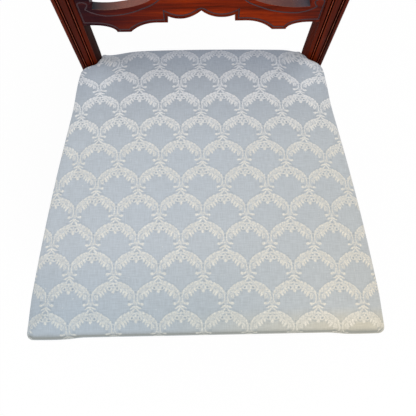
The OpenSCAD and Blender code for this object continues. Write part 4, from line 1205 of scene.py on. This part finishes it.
def scallops(add, place):
    """The figure's tone at each place of the cloth: leafy bands in a lattice of scallops."""
    cloth = setting("chair_damask")
    # Lattice of scallops, half a degree askew: one unit is a repeat across, and a row along
    lattice = add("Mapping", place, (cloth.across, FRONT_Y + cloth.along + CROWN * MM, 0), (0, 0, -0.0087),
                  (cloth.repeat, cloth.row, 1), vector_type="TEXTURE")
    across, up, _ = add("SeparateXYZ", lattice).node.outputs
    row = add("Math:CEIL", up)
    shifted = add("Math:FRACT", add("Math:ADD", add("Math:MULTIPLY_ADD", row, 0.5, across), 0.5))
    out = add("Math:ABSOLUTE", add("Math:SUBTRACT", shifted, 0.5))
    # In mm of the cell: its height, and the distances across from a crown's middle and from a foot's
    tall = add("Math:MULTIPLY_ADD", add("Math:SUBTRACT", up, row), ROW, CROWN)
    wide = add("Math:MULTIPLY", out, 2 * HALF_REPEAT)
    beside = add("Math:SUBTRACT", HALF_REPEAT, wide)
    lines = []
    for line in (OUTER_LINE, INNER_LINE):
        found = add("FloatCurve", 1.0, add("Math:MULTIPLY", out, 2.0),
                    line=[(x / HALF_REPEAT, y / CURVE_TOP) for x, y in line])
        lines.append(add("Math:MULTIPLY", found, CURVE_TOP))
    inside = add("Math:MINIMUM", add("Math:SUBTRACT", lines[0], tall), add("Math:SUBTRACT", tall, lines[1]))
    # From 3 mm outside a band to 1 mm inside it: the ground, a shadow beside the raised floats, the band
    figure = add("FloatCurve", 1.0, add("MapRange", inside, -3.0, 1.0), line=[
        (0, tone(0)), (0.1, tone(0)), (0.4, tone(-0.18)), (0.68, tone(-0.18)), (0.82, tone(0.66)), (1, tone(0.66))])
    low, high = STEM_LINE[0][0], STEM_LINE[-1][0]
    stem = add("FloatCurve", 1.0, add("MapRange", tall, low, high),
               line=[((x - low) / (high - low), y / CURVE_TOP) for x, y in STEM_LINE])
    stem = add("Math:ABSOLUTE", add("Math:MULTIPLY_ADD", stem, -CURVE_TOP, beside))
    figure = add("Mix:FLOAT", add("MapRange", stem, 1.3, 0.8), figure, tone(0.8))
    for strokes, reach in ((AT_CROWN, wide), (AT_FOOT, beside)):
        spot = add("CombineXYZ", reach, tall)
        for x, y, half_long, half_wide, turned, value in strokes:
            mark = add("Mapping", spot, (x, y, 0), (0, 0, math.radians(turned)), (half_long, half_wide, 1),
                       vector_type="TEXTURE")
            mark = add("MapRange", add("VectorMath:LENGTH", mark, out=1), 1.25, 0.75)
            figure = add("Mix:FLOAT", mark, figure, tone(value))
    return figure


def damask(name):
    """Cotton and silk damask: a blue-grey warp-faced ground and a cream weft figure of scallops in
    leafy bands, faded by light. The figure has a soft lustre, and the ground a fine rib both ways."""
    cloth = setting("chair_damask")
    material, add, shader = new_material(name, ior=1.45, sheen_weight=0.18, sheen_roughness=0.45)
    flat = add("UVMap", uv_map="cloth")
    figure = scallops(add, pulled(add, flat))
    # Loose threads make the figure uneven, in spots of about 2 mm
    threads = add("MapRange", add("TexNoise", flat, None, 430.0, 3.0, 0.65), 0.3, 0.7, -0.3, 0.22)
    figure = add("Math:MULTIPLY_ADD", threads, add("MapRange", figure, tone(0), tone(0.6)), figure)
    # Ribs of 1.1 mm, coarser than the real 0.4 mm so that they show, broken up along each thread
    warp, weft = (add("TexNoise", add("Mapping", flat, None, None, scale), None, 1.0, 2.0, 0.55)
                  for scale in ((900, 70, 1), (70, 900, 1)))
    weave = add("Math:ADD", warp, weft)
    rib = add("MapRange", weave, 0.75, 1.25, 0.9, 1.08)
    slubs = add("MapRange", add("TexNoise", flat, None, 230.0, 1.0), 0.74, 0.8, 0.0, 0.5)

    side, back, level = add("SeparateXYZ", add("TexCoord", out=3)).node.outputs
    # The ground has browned along the front, most on top and on the right
    browned = add("Math:MULTIPLY", add("MapRange", back, FRONT_Y + 34 * MM, FRONT_Y + 12 * MM),
                  add("MapRange", side, -0.06, 0.18))
    browned = add("Math:MULTIPLY", browned, add("MapRange", level, 0.38, 0.44, 0.25, 0.85))
    ground = add("Mix:RGBA", browned, cloth.ground, linear("#c4c2b6"))
    # The figure is fresher towards the rear, and weakest right under the back
    figure_tint = add("Mix:RGBA", add("MapRange", back, 0.0, 0.1), cloth.figure, linear("#eceded"))
    strength = add("FloatCurve", 1.0, add("MapRange", back, -0.1, 0.2),
                   line=[(0, 0.8), (0.4, 0.82), (0.7, 1), (0.8, 1), (0.95, 0.6), (1, 0.5)])
    strength = add("Math:MULTIPLY", strength, 1.25)
    cream = add("Math:MULTIPLY", add("MapRange", figure, tone(0), tone(1)), strength)
    shade = add("MapRange", figure, tone(0), tone(-0.8))
    lustre = add("Math:MULTIPLY", add("MapRange", figure, tone(1), tone(1.35)), strength)
    base = ground
    for amount, tint in ((cream, figure_tint), (shade, cloth.shade), (lustre, cloth.lustre),
                         (slubs, linear("#e9e8e4"))):
        base = add("Mix:RGBA", amount, base, tint)
    base = add("Mix:RGBA", 1.0, base, add("CombineColor", rib, rib, rib), blend_type="MULTIPLY")
    # The cloth is warmer towards the right and the front, painted shade greys it under the back, and painted shade
    # darkens the front on the left
    warmth = add("MapRange", add("Math:MULTIPLY_ADD", back, -0.8, side), 0.0, 0.42)
    dust_and_shade = add("Math:POWER", add("MapRange", back, 0.0, 0.175), 1.6)
    worn_and_shaded = add("Math:MULTIPLY", add("MapRange", back, -0.13, -0.22), add("MapRange", side, 0.0, 0.17, 1.0, 0.0))
    for amount, stain in ((warmth, "#fff8ec"), (dust_and_shade, "#c8cbd4"), (worn_and_shaded, "#ebf0f3")):
        stained = add("Mix:RGBA", 1.0, base, linear(stain), blend_type="MULTIPLY")
        base = add("Mix:RGBA", amount, base, stained)
    # A painted shade darkens the roll of the front edge, in a band about 12 mm wide that grows fainter downwards
    painted_rim_shade = add("FloatCurve", 1.0, add("MapRange", level, 0.420, 0.460),
                 line=[(0, 0), (0.35, 0), (0.5, 1), (0.55, 1), (0.64, 0), (1, 0)])
    painted_rim_shade = add("Math:MULTIPLY", painted_rim_shade, add("MapRange", back, FRONT_Y + 9 * MM, FRONT_Y + 3 * MM, 0.0, 0.8))
    painted_rim_shade = add("Math:MULTIPLY", painted_rim_shade, add("Math:MULTIPLY_ADD", cream, -0.55, 1.0))
    base = add("Mix:RGBA", painted_rim_shade, base, linear("#7b7e79"))
    set_surface(shader, base_color=base, roughness=add("MapRange", figure, tone(0), tone(1), 0.82, 0.62),
                normal=add("Bump", 0.3, 0.0003, into={"Height": weave}))
    return material


def woven(name, light, dark, pitch):
    """Plain woven cloth: threads over and under each other at a pitch in metres, with slubs eight threads long."""
    material, add, shader = new_material(name, roughness=0.85, ior=1.45, sheen_weight=0.15, sheen_roughness=0.5)
    place = add("TexCoord", out=3)
    # A wave of scale 1 is pi / 10 metres long
    warp, weft = (add("TexWave", place, math.pi / pitch / 10, 0.4, 1.0, 2.0, bands_direction=way) for way in "XY")
    weave = add("Math:MAXIMUM", warp, weft)
    slub = add("TexNoise", place, None, 0.12 / pitch, 4.0, 0.6)
    tint = add("MapRange", add("Math:MULTIPLY_ADD", weave, 0.5, slub), 0.5, 1.05)
    set_surface(shader, base_color=add("Mix:RGBA", tint, linear(dark), linear(light)),
                normal=add("Bump", 0.3, 0.0004, into={"Height": weave}))
    return material


def beech(name):
    """Planed beech: pale and even, with short darker flecks along the grain."""
    material, add, shader = new_material(name, ior=1.5)
    place = add("TexCoord", out=3)
    # Bands 17 mm wide and 200 mm long, and flecks 1.1 mm wide and 9 mm long
    bands = add("TexNoise", add("Mapping", place, None, None, (5, 60, 60)), None, 1.0, 4.0, 0.55, into={8: 0.4})
    bands = add("MapRange", bands, 0.3, 0.7)
    fleck = add("TexNoise", add("Mapping", place, None, None, (110, 900, 900)), None, 1.0, 1.0)
    fleck = add("MapRange", fleck, 0.62, 0.72, 0.0, 0.6)
    base = add("Mix:RGBA", bands, linear("#a27a4c"), linear("#c29c6a"))
    base = add("Mix:RGBA", fleck, base, linear("#7d5530"))
    set_surface(shader, base_color=base, roughness=add("MapRange", bands, 0.0, 1.0, 0.5, 0.68))
    return material


def blued_steel(name):
    """Blued cut tacks and old steel screws: dark, with brown bloom in spots of 1 mm."""
    material, add, shader = new_material(name, metallic=1.0)
    bloom = add("TexNoise", add("TexCoord", out=3), None, 900.0, 4.0, 0.6)
    bloom = add("MapRange", bloom, 0.4, 0.65)
    set_surface(shader, base_color=add("Mix:RGBA", bloom, linear("#4a4c52"), linear("#5e4636")),
                roughness=add("MapRange", bloom, 0.0, 1.0, 0.32, 0.6))
    return material


def seen_directly(add):
    """1 where the camera sees a surface, also in a mirror or through glass, and 0 where it only gives light."""
    paths = add("LightPath").node.outputs
    shown = add("Math:ADD", paths["Is Camera Ray"], paths["Is Glossy Ray"], use_clamp=True)
    return add("Math:ADD", shown, paths["Is Transmission Ray"], use_clamp=True)


def dress(nodes, material):
    """Gives CAD nodes their material."""
    for name in nodes:
        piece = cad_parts[name]
        piece.data.materials.clear()
        piece.data.materials.append(material)


def moulded_finish(name, place, face, sides, **reeds):
    """The four finishes of a moulded piece: its polished face, its quirks, its rubbed reeds, paler also as a painted
    highlight, and its low-gloss sides, darker as painted shade.
    """
    return [mahogany(f"mahogany_{name}", face[0], place, gloss=face[1]),
            mahogany(f"mahogany_quirks_{name}", (0.9, 0.35), place, rough=0.3, gloss=0.0),
            mahogany(f"mahogany_reeds_{name}", (0.2, 1.0), place, **reeds),
            mahogany(f"mahogany_sides_{name}", sides, place, rough=0.35, gloss=0.03)]


# Operators, one for each piece or group of pieces

class CHAIR_OT_rear_legs(bpy.types.Operator):
    """Makes the two rear legs with their moulded back posts"""
    bl_idname = "chair.rear_legs"
    bl_label = "Rear legs and posts"

    def execute(self, context):
        # The sides' tones paint shade on the posts' sides, deep on the left post
        for name, side, darker, shaded_sides in (("rear_leg_left", -1, 0.55, (1.0, 0.55)),
                                         ("rear_leg_right", 1, 0.5, (0.75, 1.1))):
            place = ((math.radians(9), 0, 0), (0.3 * side, 0.1, 0.07 * side))
            rear_leg(name, side, moulded_finish(name, place, ((darker, 0.7), 0.07), shaded_sides, rub=0.4, gloss=0.2))
        return {"FINISHED"}


class CHAIR_OT_crest_rail(bpy.types.Operator):
    """Makes the crest rail that closes the balloon"""
    bl_idname = "chair.crest_rail"
    bl_label = "Crest rail"

    def execute(self, context):
        place = ((0, math.pi / 2, 0), (0.2, 0.4, 0.1))
        materials = moulded_finish("crest", place, ((0.5, 0.74), 0.08), (0.6, 0.74), rub=0.3, rough=0.2, gloss=0.05)
        rings = [crest_ring(turn) for turn in np.linspace(0, math.pi, 73)]
        finish_piece(loft("crest_rail_wood", rings, SECTION_STRIPS), ["crest_rail"], materials)
        return {"FINISHED"}


class CHAIR_OT_cross_rail(bpy.types.Operator):
    """Makes the shaped cross rail with its sunk lines"""
    bl_idname = "chair.cross_rail"
    bl_label = "Cross rail"

    def execute(self, context):
        place = ((0, math.pi / 2, 0), (0.6, 0.2, 0.3))
        # Each painted fade holds where it starts and stops across the chair in metres, its most and its colour. On the
        # face and the lower border they paint shade towards the left post and at the right ear
        painted_shade_ends = [(-0.02, -0.14, 0.85, "#0c0a16"), (0.11, 0.16, 0.5, "#1c1014")]
        # On the top they paint a sky reflection, blue-grey towards each post, with some shade. The first of these lies
        # over the whole rail, half of it at the middle
        painted_sky_ends = [(1.0, -1.0, 1.0, "#8a635b"), (-0.100, -0.140, 0.97, "#1a2129"),
                      (0.05, 0.110, 0.62, "#3a2a2e"), (0.118, 0.142, 0.75, "#33404e")]
        cross_rail([mahogany("mahogany_cross_rail", (0.0, 1.0), place, gloss=0.05, painted_fades=painted_shade_ends),
                    mahogany("mahogany_sunk_lines", (0.5, 0.6), place, rough=0.3, dirt=0.8, gloss=0.1),
                    # The rubbed arris is paler still as a painted highlight
                    mahogany("mahogany_rubbed_arris_painted_highlight", (0.1, 1.1), place, rub=0.9),
                    mahogany("mahogany_rubbed_top_painted_sky", (0.2, 1.0), place, rough=0.2, dirt=0.1, rub=0.5, gloss=0.15,
                             painted_fades=painted_sky_ends),
                    mahogany("mahogany_lower_border", (0.3, 0.72), place, gloss=0.05, painted_fades=painted_shade_ends)])
        return {"FINISHED"}


class CHAIR_OT_front_legs(bpy.types.Operator):
    """Makes the two turned front legs with their blocks"""
    bl_idname = "chair.front_legs"
    bl_label = "Front legs"

    def execute(self, context):
        for name, side in (("front_leg_left", -1), ("front_leg_right", 1)):
            place = ((0, 0, 0), (0.5 * side, 0.3, 0))
            front_leg(name, side, [mahogany(f"mahogany_{name}", (0.5, 0.74), place, gloss=0.1)])
        return {"FINISHED"}


class CHAIR_OT_seat_frame(bpy.types.Operator):
    """Finishes the beech rails, braces and dowels and the steel screws and tacks"""
    bl_idname = "chair.seat_frame"
    bl_label = "Seat frame"

    def execute(self, context):
        wood = [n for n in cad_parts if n.endswith("dowels") or "brace_" in n and n != "brace_screws"]
        wood += ["front_rail", "rear_rail", "side_rail_left", "side_rail_right"]
        dress(wood, beech("planed_beech"))
        dress(["brace_screws", "webbing_tacks", "cover_tacks", "bottom_cloth_tacks"], blued_steel("blued_steel"))
        return {"FINISHED"}


class CHAIR_OT_webbing(bpy.types.Operator):
    """Finishes the jute webbing and the hessian over it"""
    bl_idname = "chair.webbing"
    bl_label = "Webbing and hessian"

    def execute(self, context):
        dress([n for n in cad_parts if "_web_" in n], woven("jute_webbing", "#b79c72", "#8a7048", 1.2 * MM))
        dress(["hessian"], woven("hessian", "#b39a6c", "#86703f", 1.6 * MM))
        return {"FINISHED"}


class CHAIR_OT_seat_cover(bpy.types.Operator):
    """Makes the stuffed seat with its damask cover"""
    bl_idname = "chair.seat_cover"
    bl_label = "Seat cover"

    def execute(self, context):
        seat_cover([damask("damask")])
        return {"FINISHED"}


class CHAIR_OT_bottom_cloth(bpy.types.Operator):
    """Makes the black cloth under the seat"""
    bl_idname = "chair.bottom_cloth"
    bl_label = "Bottom cloth"

    def execute(self, context):
        bottom_cloth([woven("black_cotton", "#2c2c30", "#17171a", 0.9 * MM)])
        return {"FINISHED"}


class CHAIR_OT_stage(bpy.types.Operator):
    """Sets the white floor, the lamps and the camera"""
    bl_idname = "chair.stage"
    bl_label = "Stage"

    def execute(self, context):
        stage = setting("chair_stage")
        scene = context.scene
        scene.view_settings.view_transform = "Standard"
        start_fresh()
        bpy.ops.mesh.primitive_plane_add(size=12, location=(0, 0, 0))
        floor = named("floor")
        material, add, shader = new_material("white_floor", roughness=0.9, base_color=stage.backdrop)
        # Seen directly, the floor is 94% its own white, which leaves a faint shadow
        glow = add("Emission", stage.backdrop, 1.0)
        shown = add("Math:MULTIPLY", seen_directly(add), 0.94)
        mixed = add("MixShader", shown, shader.outputs[0], glow)
        feed(material.node_tree.nodes["Material Output"].inputs["Surface"], mixed)
        floor.data.materials.append(material)

        world = bpy.data.worlds.new("white_room")
        scene.world = world
        world.use_nodes = True
        add, sky = partial(add_node, world.node_tree), world.node_tree.nodes["Background"]
        feed(sky.inputs["Color"], stage.backdrop)
        feed(sky.inputs["Strength"], add("MapRange", seen_directly(add), 0.0, 1.0, stage.sky, 1.0))

        # Each lamp's place, the place it aims at, its size, power and colour
        for name, place, aim, size, power, tint in (
                ("window", (1.3, -1.9, 3.2), (0, 0.05, 0.45), 1.6, stage.key, (1, 0.985, 0.965)),
                ("room", (-1.6, 0.5, 1.5), (0, 0.05, 0.5), 1.2, stage.fill, (0.92, 0.96, 1))):
            bpy.ops.object.light_add(type="AREA", location=place)
            lamp = named(name)
            lamp.data.size, lamp.data.energy, lamp.data.color = size, power, tint
            lamp.rotation_euler = (Vector(aim) - Vector(place)).to_track_quat("-Z", "Y").to_euler()

        # The photograph's own view, recovered from the seat's edges and the repeat of its cloth
        bpy.ops.object.camera_add(location=(-0.00238, -0.21767, 1.02022))
        camera = named("camera")
        turn = Matrix(((0.99979, 0.01662, -0.01239), (-0.0191, 0.97067, -0.23967), (0.00804, 0.23985, 0.97078)))
        camera.rotation_euler = turn.to_euler()
        camera.data.lens, camera.data.sensor_width, camera.data.sensor_height = 36.09, 36, 36
        camera.data.clip_start, camera.data.clip_end = 0.01, 100
        scene.camera = camera
        return {"FINISHED"}


STEPS = [CHAIR_OT_rear_legs, CHAIR_OT_crest_rail, CHAIR_OT_cross_rail, CHAIR_OT_front_legs, CHAIR_OT_seat_frame,
         CHAIR_OT_webbing, CHAIR_OT_seat_cover, CHAIR_OT_bottom_cloth, CHAIR_OT_stage]


class CHAIR_PT_panel(bpy.types.Panel):
    """Lists the chair's pieces and their sizes in the sidebar"""
    bl_idname = "CHAIR_PT_panel"
    bl_label = "Balloon back chair"
    bl_space_type = "VIEW_3D"
    bl_region_type = "UI"
    bl_category = "Chair"

    def draw(self, context):
        for step in STEPS:
            self.layout.operator(step.bl_idname)
        for name, group in SETTINGS.items():
            box = self.layout.box()
            for prop in group.__annotations__:
                box.prop(getattr(context.scene, name), prop)


CLASSES = list(SETTINGS.values()) + STEPS + [CHAIR_PT_panel]


def register():
    """Registers the settings, the operators and the panel."""
    for cls in CLASSES:
        bpy.utils.register_class(cls)
    for name, group in SETTINGS.items():
        setattr(bpy.types.Scene, name, PointerProperty(type=group))


def unregister():
    """Takes the panel, the operators and the settings out again."""
    for name in SETTINGS:
        delattr(bpy.types.Scene, name)
    for cls in reversed(CLASSES):
        bpy.utils.unregister_class(cls)


def main():
    """Makes every piece in order."""
    register()
    for step in STEPS:
        group, operator = step.bl_idname.split(".")
        if getattr(getattr(bpy.ops, group), operator)() != {"FINISHED"}:
            raise RuntimeError(f"{step.bl_label} wasn't finished")


if __name__ == "__main__":
    main()
